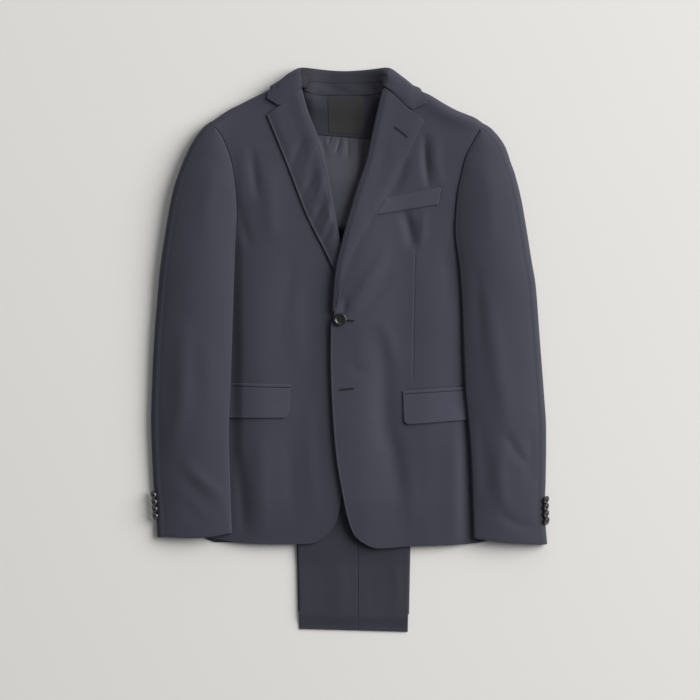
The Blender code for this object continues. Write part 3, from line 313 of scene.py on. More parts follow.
SLEEVE_FOLDS = {
    LEFT: [
        Fold([(214, 300), (224, 240), (226, 170)], 15, 1.2),
        Fold([(202, 140), (206, 70), (210, 0)], 8, -0.8),
        Fold([(218, 110), (228, 30), (236, -30), (246, -90), (250, -140)], 15, 2.4),
        Fold([(246, -146), (240, -182), (243, -230), (254, -262)], 12, 2.1),
        Fold([(208, -110), (214, -170), (216, -240)], 12, -1.1),
        Fold([(246, -126), (262, -158), (288, -190)], 8, -1.7),
        Fold([(284, -120), (292, -170), (290, -220)], 10, -1.2),
        Fold([(236, -258), (262, -276), (300, -286)], 8, -1.6),
    ],
    RIGHT: [
        Fold([(-216, 300), (-226, 240), (-228, 170)], 15, 1.2),
        Fold([(-266, 50), (-268, -40), (-270, -90), (-280, -140), (-288, -170)], 15, 2.8),
        Fold([(-232, 20), (-226, -40), (-220, -90)], 14, 0.9),
        Fold([(-268, -176), (-234, -210), (-198, -236)], 10, 1.9),
        Fold([(-272, -200), (-238, -236), (-212, -264)], 12, -1.3),
        Fold([(-200, -228), (-196, -260), (-192, -292)], 5, 1.1),
        Fold([(-270, -236), (-252, -262), (-230, -284)], 12, -0.9),
    ],
}
LEG_FOLDS = [
    Fold([(-60, -330), (-52, -380), (-56, -440)], 13, -0.9),
    Fold([(-20, -320), (-14, -390), (-22, -446)], 12, 0.8),
    Fold([(52, -330), (46, -390), (52, -446)], 13, -0.8),
    Fold([(74, -320), (78, -380), (74, -430)], 9, 0.6),
]
# Seams sewn into a front: its dart, the line over the flap pocket and the chest pocket's end
Seam = namedtuple("Seam", "points depth")
SEAMS = {LEFT: [Seam([(104.5, 164), (101.5, 30), (100.8, -53)], 0.50),
                Seam([(85, -64.4), (192, -57.6)], 0.55),
                Seam([(96, 252.6), (146.2, 261.2), (142.0, 232.6)], 0.45)],
         RIGHT: [Seam([(-117, 168), (-109, 72), (-112, -54)], 0.26),
                 Seam([(-202, -51.2), (-94, -54.0)], 0.55)]}
LINING_FOLDS = [
    Fold([(-31, 343), (-33, 336), (-35, 328)], 1.9, -1.0),
    Fold([(-15, 343), (-18, 330), (-24, 313)], 2.1, -1.3),
    Fold([(-9, 340), (-11, 326), (-15, 306)], 4.5, 0.9),
    Fold([(-4, 342), (-3, 326), (-3, 302)], 2.2, -0.8),
    Fold([(13, 341), (13, 326), (12, 304)], 2.2, -0.8),
    Fold([(-46, 342), (-42, 322), (-38, 304)], 5.0, -1.1),
    Fold([(26, 340), (24, 310), (18, 270)], 4.0, -0.8),
]


# Materials

class Signal:
    """What a socket carries, so that shader maths reads as plain arithmetic."""

    def __init__(self, paint, socket):
        self.paint, self.socket = paint, socket

    def maths(self, operation, *values):
        return self.paint.add("ShaderNodeMath", {"operation": operation}, dict(enumerate(values)))

    def __add__(self, other):
        return self.maths("ADD", self, other)

    def __sub__(self, other):
        return self.maths("SUBTRACT", self, other)

    def __rsub__(self, other):
        return self.maths("SUBTRACT", other, self)

    def __mul__(self, other):
        return self.maths("MULTIPLY", self, other)

    def sine(self):
        return self.maths("SINE", self)

    __radd__, __rmul__ = __add__, __mul__


class Paint:
    """A material with its shader, and short ways to add the nodes that a look is made of."""

    def __init__(self, name, **constants):
        self.material = bpy.data.materials.new(name)
        self.material.use_nodes = True
        self.tree = self.material.node_tree
        self.shader = self.tree.nodes["Principled BSDF"]
        self.look(**constants)

    def look(self, **values):
        """Sets the shader's sockets, whose names have _ here for a space."""
        for socket, value in values.items():
            self.set(self.shader.inputs[socket.replace("_", " ")], value)

    def add(self, kind, settings=None, sockets=None, output=0):
        node = self.tree.nodes.new(kind)
        for key, value in (settings or {}).items():
            setattr(node, key, value)
        for key, value in (sockets or {}).items():
            self.set(node.inputs[key], value)
        return Signal(self, node.outputs[output])

    def set(self, socket, value):
        if isinstance(value, Signal):
            self.tree.links.new(value.socket, socket)
        else:
            socket.default_value = value

    def mix(self, share, first, second):
        return self.add("ShaderNodeMix", {"data_type": "RGBA", "clamp_factor": True},
                        {0: share, 6: first, 7: second}, 2)

    def shades(self, share, colour, low, high):
        """From low to high times a colour."""
        return self.mix(share, tinted(colour, low), tinted(colour, high))

    def noise(self, place, scale, detail=2.0):
        return self.add("ShaderNodeTexNoise", {}, {"Vector": place, "Scale": scale,
                                                   "Detail": detail, "Roughness": 0.5})

    def streaks(self, place, scale, detail=1.0):
        """Noise drawn out along the axes where scale is low."""
        drawn = self.add("ShaderNodeMapping", {}, {"Vector": place, "Scale": scale})
        return self.noise(drawn, 1.0, detail)

    def ease(self, value, width):
        """A smooth step from 0 to 1 as the value goes from 0 to width."""
        return self.add("ShaderNodeMapRange", {"interpolation_type": "SMOOTHSTEP"},
                        {"Value": value, "From Min": 0.0, "From Max": width})

    def body(self):
        """Where a point lies in the model's own space, in metres."""
        return self.add("ShaderNodeTexCoord", {}, {}, 3)

    def parts(self, vector):
        """The first two parts of a vector."""
        node = self.tree.nodes.new("ShaderNodeSeparateXYZ")
        self.set(node.inputs[0], vector)
        return Signal(self, node.outputs[0]), Signal(self, node.outputs[1])

    def threads(self):
        """Where a point lies along the cloth's two threads, in metres, and the vector's parts."""
        place = self.add("ShaderNodeUVMap", {"uv_map": "threads"})
        return place, *self.parts(place)

    def bump(self, height, distance, strength):
        self.look(Normal=self.add("ShaderNodeBump", {}, {"Height": height, "Distance": distance,
                                                         "Strength": strength}))


def tinted(colour, factor):
    return (*(c * factor for c in colour), 1.0)


def neck_shade_masks(paint, body, across):
    """Masks for painted shade: whether a point of the collar lies on its inner side, between two
    slanting lines and short of the roll, where shade is painted, and whether it lies in the corner
    at the wearer's right, where the painted shade is darker still. Metres."""
    x, y = paint.parts(body)
    below = 0.4508 - y
    right_line, left_line = 0.0800 - below * 0.10, 0.0622 - below * 0.09
    blur, roll = 0.0014, 0.0085
    inside = (paint.ease(x + right_line, blur) * paint.ease(left_line - x, blur)
              * paint.ease(-roll - across, 0.003))
    return inside, paint.ease(-0.052 - x, 0.016)


def wool(name, colour, tone=1.0, neck=""):
    """Fine worsted twill: slanting ribs, uneven yarns, a broad change of tone and a matt sheen.
    neck is "stand" for cloth that lies inside the neck, and "collar" where its inner side does.
    There the colour is painted darker as shade, and darker still in the corner at the wearer's
    right."""
    paint = Paint(name, Sheen_Weight=0.10, Sheen_Roughness=0.45, Sheen_Tint=(0.62, 0.64, 0.78, 1),
                  Specular_IOR_Level=0.32)
    place, across, up = paint.threads()
    twill = ((across + up * 0.8) * (2 * pi / TWILL)).sine()
    yarns = (across * (2 * pi / (TWILL / 2))).sine()
    slub = paint.streaks(place, (2600.0, 420.0, 1.0))
    weft = paint.streaks(place, (420.0, 2600.0, 1.0))
    body = paint.body()
    broad, mottle = paint.noise(body, 9.0), paint.noise(body, 60.0)
    light = (0.5 + (broad - 0.5) * 0.55 + (mottle - 0.5) * 0.22 + (slub - 0.5) * 0.45
             + (weft - 0.5) * 0.35 + twill * 0.10)
    cloth_colour = paint.shades(light, colour, tone * 0.84, tone * 1.16)
    # Painted shade: inside the neck the cloth's colour is darkened to stand in for the shade that
    # falls there.
    if neck:
        inside, corner = neck_shade_masks(paint, body, across)
        dark = paint.shades(corner, colour, NECK_SHADE_TONE, CORNER_SHADE_TONE)
        cloth_colour = paint.mix(inside if neck == "collar" else 1.0, cloth_colour,
                                 paint.mix(light * 0.15, dark, tinted(colour, 1.0)))
    paint.look(Base_Color=cloth_colour,
               Roughness=0.74 + (mottle - 0.5) * 0.16 + (slub - 0.5) * 0.1)
    paint.bump(twill * 0.5 + yarns * 0.2 + slub * 0.9 + weft * 0.7, 0.00005, 0.6)
    return paint.material


def satin(name, colour):
    """Lining: a close satin with a soft gleam along its folds."""
    paint = Paint(name, Sheen_Weight=0.05, Specular_IOR_Level=0.38, Anisotropic=0.2)
    place, across, up = paint.threads()
    slub = paint.streaks(place, (3000.0, 260.0, 1.0))
    broad = paint.noise(paint.body(), 14.0)
    rib = ((across + up) * (2 * pi / SATIN_RIB)).sine()
    light = 0.5 + (slub - 0.5) * 0.5 + (broad - 0.5) * 0.5
    paint.look(Base_Color=paint.shades(light, colour, 0.88, 1.12),
               Roughness=0.60 + (slub - 0.5) * 0.12)
    paint.bump(rib * 0.5 + slub, 0.00002, 0.5)
    return paint.material


def label_cloth(name, colour):
    """A bare woven patch: fine ribs from side to side."""
    paint = Paint(name, Specular_IOR_Level=0.35)
    place, across, up = paint.threads()
    rib = (up * (2 * pi / LABEL_RIB)).sine()
    slub = paint.streaks(place, (300.0, 2600.0, 1.0))
    paint.look(Base_Color=paint.shades(0.5 + rib * 0.25 + (slub - 0.5) * 0.6, colour, 0.82, 1.18),
               Roughness=0.58 + rib * 0.06)
    paint.bump(rib + slub, 0.00004, 0.5)
    return paint.material


def horn(name, colour):
    """A dark polished button with faint streaks."""
    paint = Paint(name, Coat_Roughness=0.12, Specular_IOR_Level=0.55)
    body = paint.body()
    streak = paint.streaks(body, (900.0, 220.0, 400.0), 4.0)
    haze = paint.noise(body, 1400.0)
    paint.look(Base_Color=paint.shades((streak - 0.35) * 2.2, colour, 0.65, 2.1),
               Roughness=0.24 + haze * 0.12, Coat_Weight=0.35 + haze * 0.2)
    return paint.material


def thread(name, colour):
    paint = Paint(name, Specular_IOR_Level=0.4, Sheen_Weight=0.1)
    twist = paint.noise(paint.body(), 3200.0)
    paint.look(Base_Color=paint.shades(twist, colour, 0.7, 1.3), Roughness=0.5 + twist * 0.2)
    return paint.material


def floor_paint(name, colour):
    paint = Paint(name, Specular_IOR_Level=0.2)
    body = paint.body()
    tone, grain = paint.noise(body, 1.3), paint.noise(body, 900.0)
    light = 0.5 + (tone - 0.5) * 0.8 + (grain - 0.5) * 0.3
    paint.look(Base_Color=paint.shades(light, colour, 0.985, 1.015),
               Roughness=0.85 + (grain - 0.5) * 0.1)
    return paint.material


NAVY = (0.0484, 0.0492, 0.0722)
TWILL, SATIN_RIB, LABEL_RIB = 0.00062, 0.0005, 0.0007  # from rib to rib, in metres
NECK_SHADE_TONE = 0.62           # painted shade: share of the cloth's colour inside the neck, and in the corner at the wearer's right, where it is darker still
CORNER_SHADE_TONE = 0.26         # and in the corner at the wearer's right
WOOL = wool("suit_wool", NAVY)
TROUSER_WOOL = wool("trouser_wool", NAVY, 0.79)
# The neck and collar wools carry painted shade inside the neck, darker in the corner at the
# wearer's right.
SHADED_NECK_WOOL = wool("neck_wool_painted_shade", NAVY, neck="stand")
SHADED_COLLAR_WOOL = wool("collar_wool_painted_shade", NAVY, neck="collar")
# A lighter copy of the wool for the pockets' pieces: painted light for the light that they catch.
LIT_POCKET_WOOL = wool("pocket_wool_painted_light", NAVY, 1.17)
SATIN = satin("lining_satin", (0.060, 0.061, 0.082))
LABEL_CLOTH = label_cloth("label_ribbed", (0.0292, 0.0296, 0.0312))
HORN = horn("dark_horn", (0.012, 0.011, 0.013))
THREAD = thread("navy_thread", (0.016, 0.016, 0.024))
SHADE = thread("slit_shade", (0.004, 0.004, 0.005))


# Curves and surfaces, worked out for many points at once

def smoothstep(low, high, value):
    t = np.clip((np.asarray(value, float) - low) / (high - low), 0, 1)
    return t * t * (3 - 2 * t)


def along(table, y, column):
    """A column of a table of sections at y, eased from row to row."""
    ys = np.array([row.y for row in table], float)
    values = np.array([getattr(row, column) for row in table], float)
    y = np.clip(y, ys[0], ys[-1])
    i = np.clip(np.searchsorted(ys, y) - 1, 0, len(ys) - 2)
    t = (y - ys[i]) / (ys[i + 1] - ys[i])
    return values[i] + (values[i + 1] - values[i]) * (0.6 * t + 0.4 * t * t * (3 - 2 * t))


def smooth_points(points, steps=CURVE_STEPS):
    """A Catmull-Rom curve through the points."""
    p = np.array([tuple(q) for q in points], float)
    if len(p) == 2:
        return p
    p = np.vstack([2 * p[0] - p[1], p, 2 * p[-1] - p[-2]])
    t = (np.arange(steps) / steps)[:, None]
    found = [0.5 * (2 * b + (c - a) * t + (2 * a - 5 * b + 4 * c - d) * t * t
                    + (3 * b - a - 3 * c + d) * t ** 3)
             for a, b, c, d in zip(p, p[1:], p[2:], p[3:])]
    return np.vstack([*found, p[-2:-1]])


def along_line(points):
    """A function of 0 to 1 along points that lie close together, by length."""
    run = np.concatenate([[0], np.cumsum(np.linalg.norm(np.diff(points, axis=0), axis=1))])

    def at(t):
        goal = np.clip(t, 0, 1) * run[-1]
        return np.stack([np.interp(goal, run, column) for column in points.T], axis=-1)
    return at


def edge(*stretches, steps=CURVE_STEPS):
    """A function of 0 to 1 along one or more smooth stretches, by length."""
    points = smooth_points(stretches[0], steps)
    for stretch in stretches[1:]:
        added = smooth_points(stretch, steps)
        points = np.vstack([points, added[1:] if np.allclose(points[-1], added[0]) else added])
    return along_line(points)


def rung(first, last, t):
    """The straight line between two edges, where both are at t."""
    return edge([first(t), last(t)])


def halves_of_one_curve(first, second):
    """Two stretches, the second going on where the first ends, as parts of one smooth curve."""
    whole = smooth_points([*first, *second])
    corner = CURVE_STEPS * (len(first) - 1)
    return whole[:corner + 1], whole[corner:]


def shifted(points, distance):
    """The points moved to the left of their direction of travel by distance."""
    p = np.array([tuple(q) for q in points], float)[:, :2]
    way = np.vstack([p[1:2] - p[:1], p[2:] - p[:-2], p[-1:] - p[-2:-1]])
    way /= np.linalg.norm(way, axis=1)[:, None]
    return [tuple(q) for q in p + distance * np.stack([-way[:, 1], way[:, 0]], axis=1)]


def even(count, power=1.0):
    """Shares of 0 to 1 for count steps, closer to 0 where power is above 1."""
    return (np.arange(count + 1) / count) ** power


def patch(low, high, first, last, us, vs, height=None):
    """Rows of points over a four-sided patch. low and high run along u, first and last along v.
    height gives z from x and y."""
    u, v = np.asarray(us)[None, :, None], np.asarray(vs)[:, None, None]
    flat = (low(us)[None] * (1 - v) + high(us)[None] * v + first(vs)[:, None] * (1 - u)
            + last(vs)[:, None] * u - low(0) * (1 - u) * (1 - v) - low(1) * u * (1 - v)
            - high(0) * (1 - u) * v - high(1) * u * v)
    if height is None:
        return flat
    return np.dstack([flat[..., :2], height(flat[..., 0], flat[..., 1])])


def between(low, high, us, vs, height=None):
    """A patch between two edges, with straight ends."""
    return patch(low, high, rung(low, high, 0), rung(low, high, 1), us, vs, height)


def across_rows(rows):
    return rows.transpose(1, 0, 2)


def rolled(rows, out, drop, angle, steps):
    """Rows with more of them past the last: the cloth turns over there, bulging by out and dropping
    by drop at half a turn, through angle radians. It turns straight down."""
    last, before = rows[-1], rows[-2]
    side = np.vstack([last[1:2] - last[:1], last[2:] - last[:-2], last[-1:] - last[-2:-1]])
    away = np.stack([side[:, 1], -side[:, 0], np.zeros(len(side))], axis=1)
    away /= np.linalg.norm(away, axis=1)[:, None]
    away[((last - before)[:, :2] * away[:, :2]).sum(1) < 0] *= -1
    out, drop, angle = (np.broadcast_to(a, len(last))[:, None] for a in (out, drop, angle))
    added = [last + away * out * np.sin(angle * k / steps)
             - np.array([0, 0, 0.5]) * drop * (1 - np.cos(angle * k / steps))
             for k in range(1, steps + 1)]
    return np.concatenate([rows, np.array(added)])


def nearest_on(line, x, y):
    """How far each point is from the line, and how far along the line it lies, as a share."""
    steps = np.linalg.norm(np.diff(line, axis=0), axis=1)
    run = np.concatenate([[0], np.cumsum(steps)])
    best = np.full(np.broadcast(x, y).shape, 1e9)
    share = np.zeros(best.shape)
    for (ax, ay), (bx, by), start, step in zip(line, line[1:], run, steps):
        t = np.clip(((x - ax) * (bx - ax) + (y - ay) * (by - ay)) / step ** 2, 0, 1)
        away = np.hypot(x - ax - t * (bx - ax), y - ay - t * (by - ay))
        near = away < best
        best[near], share[near] = away[near], ((start + t * step) / run[-1])[near]
    return best, share


def fold_relief(folds, x, y):
    """How much the folds raise each point."""
    total = np.zeros(np.broadcast(x, y).shape)
    for fold in folds:
        away, share = nearest_on(smooth_points(fold.points, 8), x, y)
        total += fold.depth * np.exp(-(away / fold.width) ** 2) * np.sin(pi * share) ** 0.8
    return total


# Heights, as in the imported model, with the folds on top of them

def front_height(x, y):
    """A front falls from its middle to its side, further out and faster below the chest."""
    shift = 30 * (1 - smoothstep(60, 190, y))
    share = smoothstep(0, 1, (np.abs(x - CENTRE_X) - 95 - shift) / (119 - shift))
    return along(BODY, y, "centre") * (1 - share) + along(BODY, y, "side") * share


def body_relief(side, x, y):
    """The folds of a front, which die out towards the sleeve and the shoulder."""
    away = np.abs(x - CENTRE_X)
    start = CLEAR_OF_SLEEVE[side]
    keep = 1 - smoothstep(start, start + 20, away)
    keep = keep * (1 - smoothstep(348, 385, y + 0.35 * away - 40))
    return fold_relief(BODY_FOLDS[side], x, y) * keep + fold_relief(SHOULDER_FOLDS[side], x, y)


def front_height_of(side):
    """The left front lies over the right one and over its lapel, and sinks back away from them."""
    def height(x, y):
        lift = along(BODY, y, "overlap") * (1 - smoothstep(12, 95, x)) if side == LEFT else 0.0
        return front_height(x, y) + lift + body_relief(side, x, y)
    return height


def lapel_height_of(side):
    """A lapel lies over its front, higher near its roll, and falls where it turns over."""
    front_at = front_height_of(side)
    line = edge(ROLL_LINE[side])(even(60))

    def height(x, y):
        away = np.min(np.hypot(x[..., None] - line[:, 0], y[..., None] - line[:, 1]), axis=-1)
        spring = LAPEL_SPRING * (1 - smoothstep(9, 30, away))
        spring = spring - ROLL_FALL[side] * (1 - smoothstep(0, 11, away))
        folds = fold_relief(LAPEL_FOLDS[side], x, y) * smoothstep(2, 10, away)
        return front_at(x, y) + JACKET_WALL + LAPEL_LIFT + spring + folds
    return height


def back_height(x, y):
    """The back rises over the collar that lies folded under its neck."""
    return BACK_MID + NECK_LIFT * smoothstep(362, 392, y) + 0 * x


def flap_rise(y):
    """The flaps lift the sleeves that lie over them."""
    return FLAP_LIFT * smoothstep(-142, -118, y) * (1 - smoothstep(-56, -32, y))


def sleeve_bed(x, y):
    """The middle of a sleeve's under wall: on the body, then down its side to the surface."""
    away = np.abs(x - CENTRE_X)
    on_body = front_height(x, y) + JACKET_WALL + SEAM_GAP + flap_rise(y)
    return BACK_MID + (on_body - BACK_MID) * (1 - smoothstep(SIDE_FOLD + 1, SIDE_FOLD + 27, away))


def leg_base(y):
    """The underside of the lower leg, over the seat, then the back, then on the surface."""
    over_seat = SEAT_TOP + SEAM_GAP
    over_back = JACKET_WALL + SEAM_GAP
    onto_back = over_back + (over_seat - over_back) * smoothstep(-284, -234, y)
    return onto_back * smoothstep(-350, -309, y)


# Cloth

def deselect():
    if bpy.context.mode != "OBJECT":
        bpy.ops.object.mode_set(mode="OBJECT")
    bpy.ops.object.select_all(action="DESELECT")


def apply(obj, kind, name, **settings):
    """Adds a modifier and applies it."""
    modifier = obj.modifiers.new(name, kind)
    for key, value in settings.items():
        setattr(modifier, key, value)
    bpy.context.view_layer.objects.active = obj
    bpy.ops.object.modifier_apply(modifier=modifier.name)


def placed(name, data):
    """A new object in the scene."""
    obj = bpy.data.objects.new(name, data)
    bpy.context.scene.collection.objects.link(obj)
    return obj


def dress(obj, material):
    obj.data.materials.clear()
    obj.data.materials.append(material)


def run_lengths(rows, axis):
    """How far each point lies along its row or column, from the middle one."""
    steps = np.linalg.norm(np.diff(rows, axis=axis), axis=2)
    run = np.cumsum(steps, axis=axis)
    run = np.concatenate([np.zeros_like(np.take(steps, [0], axis=axis)), run], axis=axis)
    return run - np.take(run, [run.shape[axis] // 2], axis=axis)


def sheet_grid(name, rows):
    """A grid bent to the rows, with a UV map in metres along its threads."""
    count, across = rows.shape[:2]
    deselect()
    bpy.ops.mesh.primitive_grid_add(x_subdivisions=across - 1, y_subdivisions=count - 1)
    obj = bpy.context.active_object
    obj.name = obj.data.name = name
    mesh = obj.data
    mesh.vertices.foreach_set("co", (rows.reshape(-1, 3) * MM).astype(np.float32).ravel())
    threads = np.stack([run_lengths(rows, 1), run_lengths(rows, 0)], axis=2).reshape(-1, 2) * MM
    corners = np.zeros(len(mesh.loops), np.int32)
    mesh.loops.foreach_get("vertex_index", corners)
    mesh.uv_layers[0].name = "threads"
    mesh.uv_layers[0].data.foreach_set("uv", threads[corners].astype(np.float32).ravel())
    mesh.update()
    return obj


def cut_size(rows):
    """Width, length and area of the flat cloth, in metres."""
    a, b, c, d = rows[:-1, :-1], rows[:-1, 1:], rows[1:, 1:], rows[1:, :-1]
    area = (np.linalg.norm(np.cross(b - a, c - a), axis=2)
            + np.linalg.norm(np.cross(c - a, d - a), axis=2)).sum() / 2
    wide = np.ptp(run_lengths(rows, 1), axis=1).max()
    long = np.ptp(run_lengths(rows, 0), axis=0).max()
    return wide * MM, long * MM, area * MM * MM


def cloth(name, node, rows, wall, material=WOOL, seams=(),
          rim=0.3):
    """A piece of cloth on the form of its node: a wall about the rows, its edges rounded over a
    width of rim times the wall."""
    obj = sheet_grid(name, rows)
    for seam in seams:
        sew(obj, seam)
    mesh = bmesh.new()
    mesh.from_mesh(obj.data)
    bmesh.ops.recalc_face_normals(mesh, faces=mesh.faces)
    mesh.to_mesh(obj.data)
    mesh.free()
    apply(obj, "SOLIDIFY", "Wall", thickness=wall * MM, offset=0)
    apply(obj, "BEVEL", "Edge", width=wall * rim * MM, segments=2, limit_method="ANGLE",
          angle_limit=radians(55))
    obj.data.shade_smooth()
    dress(obj, material)
    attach(obj, "root")
    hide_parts(node)
    wide, long, area = cut_size(rows)
    max(long, 0.010)
    min(area, wide * long)


def sew(obj, seam):
    """A seam: the cloth is cut along its line and drawn down into a narrow groove."""
    line = np.array(seam.points, float)
    mesh = bmesh.new()
    mesh.from_mesh(obj.data)
    for a, b in zip(line, line[1:]):
        start, reach = Vector((*a, 0)), np.linalg.norm(b - a)
        way = Vector((*(b - a), 0)).normalized()
        aside = Vector((way.y, -way.x, 0))

        def beside(face):
            middle = face.calc_center_median() / MM - start
            return -3 < middle.dot(way) < reach + 3 and abs(middle.dot(aside)) < 7

        for shift in SEAM_CUTS:
            near = [f for f in mesh.faces if f.normal.z > 0.3 and beside(f)]
            around = dict.fromkeys([*near, *(e for f in near for e in f.edges),
                                    *(v for f in near for v in f.verts)])
            bmesh.ops.bisect_plane(mesh, geom=list(around), dist=1e-6, plane_no=aside,
                                   plane_co=(start + aside * shift) * MM)
    co = np.array([v.co for v in mesh.verts]) / MM
    away, share = nearest_on(line, co[:, 0], co[:, 1])
    ends = smoothstep(0, 0.06, share) * (1 - smoothstep(0.97, 1, share))
    for v, drop in zip(mesh.verts, seam.depth * np.exp(-(away / GROOVE) ** 2) * ends * MM):
        v.co.z -= drop
    mesh.to_mesh(obj.data)
    mesh.free()


# The jacket's body


def bead(reach):
    """The height of a pressed edge's ridge, from each point's offset from the edge."""
    return EDGE_BEAD * np.exp(-(np.linalg.norm(reach[..., :2], axis=-1) - BEAD_INSET) ** 2)


def front(side):
    sign = SIGN[side]
    inset = LAPEL_ROLL + JACKET_WALL + SEAM_GAP / 2
    corner_up, corner_out = halves_of_one_curve(FRONT_EDGE[side][::-1], HEM[side])
    roll_line = smooth_points(shifted(ROLL_LINE[side], -sign * inset))
    inner, low = along_line(np.vstack([corner_up[::-1], roll_line])), along_line(corner_out)
    outer = edge(shifted(SIDE_SEAM[side], sign * SEAM_GAP / 2),
                 shifted(ARMHOLE[side], sign * SEAM_GAP))
    top = shifted(SHOULDER[side], -sign * (SHOULDER_ROLL + JACKET_WALL / 2))
    high = edge([inner(1), *top[1:-1], outer(1)])
    us = np.concatenate([EDGE_COLUMNS, np.linspace(0.042, 1, 58)])
    rows = patch(low, high, inner, outer, us, even(210), front_height_of(side))
    rows[..., 2] += bead(rows - rows[:, :1]) * (1 - smoothstep(20, 60, rows[..., 1]))
    drop = rows[-1][:, 2] - back_height(rows[-1][:, 0], rows[-1][:, 1]) - 0.1
    rows = rolled(rows, SHOULDER_ROLL, drop, pi, TURN_STEPS)
    cloth("front_" + side, "jacket_front_" + side, rows, JACKET_WALL,
          seams=SEAMS[side])


def side_body(side):
    """The panel under the arm: it turns round the side fold and on under the garment."""
    sign = SIGN[side]
    fold_x = CENTRE_X + sign * (SIDE_FOLD - SIDE_ROLL - JACKET_WALL / 2)
    hem_y, top_y = HEM[side][-1][1], UNDERARM_Y - 1.5
    seam = edge(shifted(SIDE_SEAM[side], -sign * SEAM_GAP / 2))
    fold = edge([(fold_x, hem_y + 6), (fold_x, top_y)])
    vs = even(110)
    rows = patch(rung(seam, fold, 0), rung(seam, fold, 1), seam, fold, even(10), vs, front_height)
    columns = across_rows(rows)
    line = columns[-1]
    columns = rolled(columns, SIDE_ROLL, line[:, 2] - BACK_MID, pi, TURN_STEPS)
    ones = np.ones(len(vs))
    goal = np.column_stack([ones * (CENTRE_X + sign * (BACK_SEAM + SEAM_GAP)),
                            HEM_Y + (top_y - HEM_Y) * vs, ones * BACK_MID])
    start = np.column_stack([line[:, :2], ones * BACK_MID])
    under = [start + (goal - start) * share for share in even(6)[1:]]
    cloth("side_" + side, "jacket_side_" + side, np.concatenate([columns, under]), JACKET_WALL)


def back(side):
    sign = SIGN[side]
    centre = CENTRE_X + sign * SEAM_GAP / 2
    shoulder = shifted(SHOULDER[side], -sign * (SHOULDER_ROLL + JACKET_WALL / 2 + SEAM_GAP + 1.2))
    side_x = CENTRE_X + sign * BACK_SEAM
    outer = edge([(side_x, HEM_Y), (side_x, UNDERARM_Y)], BACK_ARMHOLE[side][1:])
    high = edge([(centre, BACK_NECK_Y), (CENTRE_X + sign * 40, BACK_NECK_Y), shoulder[0]],
                [*shoulder[1:-1], outer(1)])
    inner = edge([(centre, HEM_Y), (centre, BACK_NECK_Y)])
    rows = patch(edge([(centre, HEM_Y), (side_x, HEM_Y)]), high, inner, outer, even(40), even(140),
                 back_height)
    cloth("back_" + side, "jacket_back_" + side, rows, JACKET_WALL)


# Sleeves

def sleeve_lip(t):
    """How far the inner edge bulges past its seam, from the shoulder down."""
    return 0.5 + (SLEEVE_LIP - 0.5) * smoothstep(0.0, 0.07, t)


def sleeve_edges(side):
    """Where the upper sleeve's top ends and its turned edges begin."""
    sign = SIGN[side]
    armhole = edge(SLEEVE_INNER[side])
    near, full = (edge(shifted(SLEEVE_INNER[side], sign * k)) for k in (1, 2))

    def inner(t):
        inset = SLEEVE_SET + sleeve_lip(t)
        return armhole(t) + (full(t) - near(t)) * np.asarray(inset)[..., None]
    return inner, edge(shifted(SLEEVE_OUTER[side], -sign * (SLEEVE_ROLL + JACKET_WALL / 2)))


def sleeve_height(side, u, x, y):
    """A low crown between the sleeve's two edges, with its folds."""
    inner, crown, outer = (along(SLEEVE, y, c) for c in ("inner", "crown", "outer"))
    chord = inner + (outer - inner) * u
    folds = fold_relief(SLEEVE_FOLDS[side], x, y) * smoothstep(0, 0.16, u)
    folds = folds * (1 - 0.5 * smoothstep(0.85, 1, u))
    return chord + (crown - (inner + outer) / 2) * np.sin(pi * u) ** 0.8 + folds


def sleeve_upper(side):
    sign = SIGN[side]
    inner, outer = sleeve_edges(side)
    us, vs = even(40), even(170, 1.15)
    cuff = edge([inner(1), CUFF_MIDDLE[side], outer(1)])
    flat = patch(rung(inner, outer, 0), cuff, inner, outer, us, vs)
    top = sleeve_height(side, np.broadcast_to(us, flat.shape[:2]), flat[..., 0], flat[..., 1])
    columns = across_rows(np.dstack([flat, top]))
    lip = columns[0]
    # The inner edge tucks in along the armhole, and below the arm turns right under, onto the bed
    below_arm = 1 - smoothstep(186, 232, lip[:, 1])
    to_bed = lip[:, 2] - sleeve_bed(lip[:, 0], lip[:, 1])
    drop = 2.0 + 3.6 * smoothstep(0, 0.1, vs)
    drop = drop + (to_bed - drop) * below_arm
    columns = rolled(columns[::-1], sleeve_lip(vs), drop, pi / 2 * (1 + below_arm), 8)[::-1]
    crease = columns[-1]
    columns = rolled(columns, SLEEVE_ROLL + 0.5, crease[:, 2] - BACK_MID, pi, 16)
    # Below, the cloth runs in from the crease, at the sleeve's head as far as the back's armhole
    armhole = edge(shifted(BACK_ARMHOLE[side][::-1], sign * (SEAM_GAP + 1.4)))
    cap = np.flatnonzero(crease[:, 1] > UNDERARM_Y + 8)[-1]
    reach = smoothstep(UNDERARM_Y + 22, UNDERARM_Y + 60, crease[:, 1])[:, None]
    short = crease[:, :2] - np.array([sign * 6, 0])
    goal = short + (armhole(np.minimum(1, np.arange(len(crease)) / cap)) - short) * reach
    under = [np.column_stack([crease[:, :2] + (goal - crease[:, :2]) * share,
                              np.full(len(crease), BACK_MID)]) for share in even(8)[1:]]
    cloth("sleeve_" + side, "sleeve_upper_" + side, np.concatenate([columns, under]), SLEEVE_WALL)


def sleeve_under(side):
    """The lower wall, from the turned inner edge, off the body and onto the surface."""
    sign = SIGN[side]
    inner, outer = sleeve_edges(side)
    top = UNDERARM_Y - 12
    start_in = next(t for t in even(200) if inner(t)[1] < top)
    start_out = next(t for t in even(200) if outer(t)[1] < top)
    gap = SEAM_GAP + 0.6
    first = edge([inner(start_in + (1 - start_in) * t) + (sign * gap, 0) for t in even(8)])
    last = edge([outer(start_out + (1 - start_out) * t) - (sign * (6 + gap), 0) for t in even(8)])
    rows = patch(rung(first, last, 0), rung(first, last, 1), first, last, even(36), even(90),
                 sleeve_bed)
    cloth("sleeve_under_side_" + side, "sleeve_under_" + side, rows, SLEEVE_WALL)


# Lapels and collar

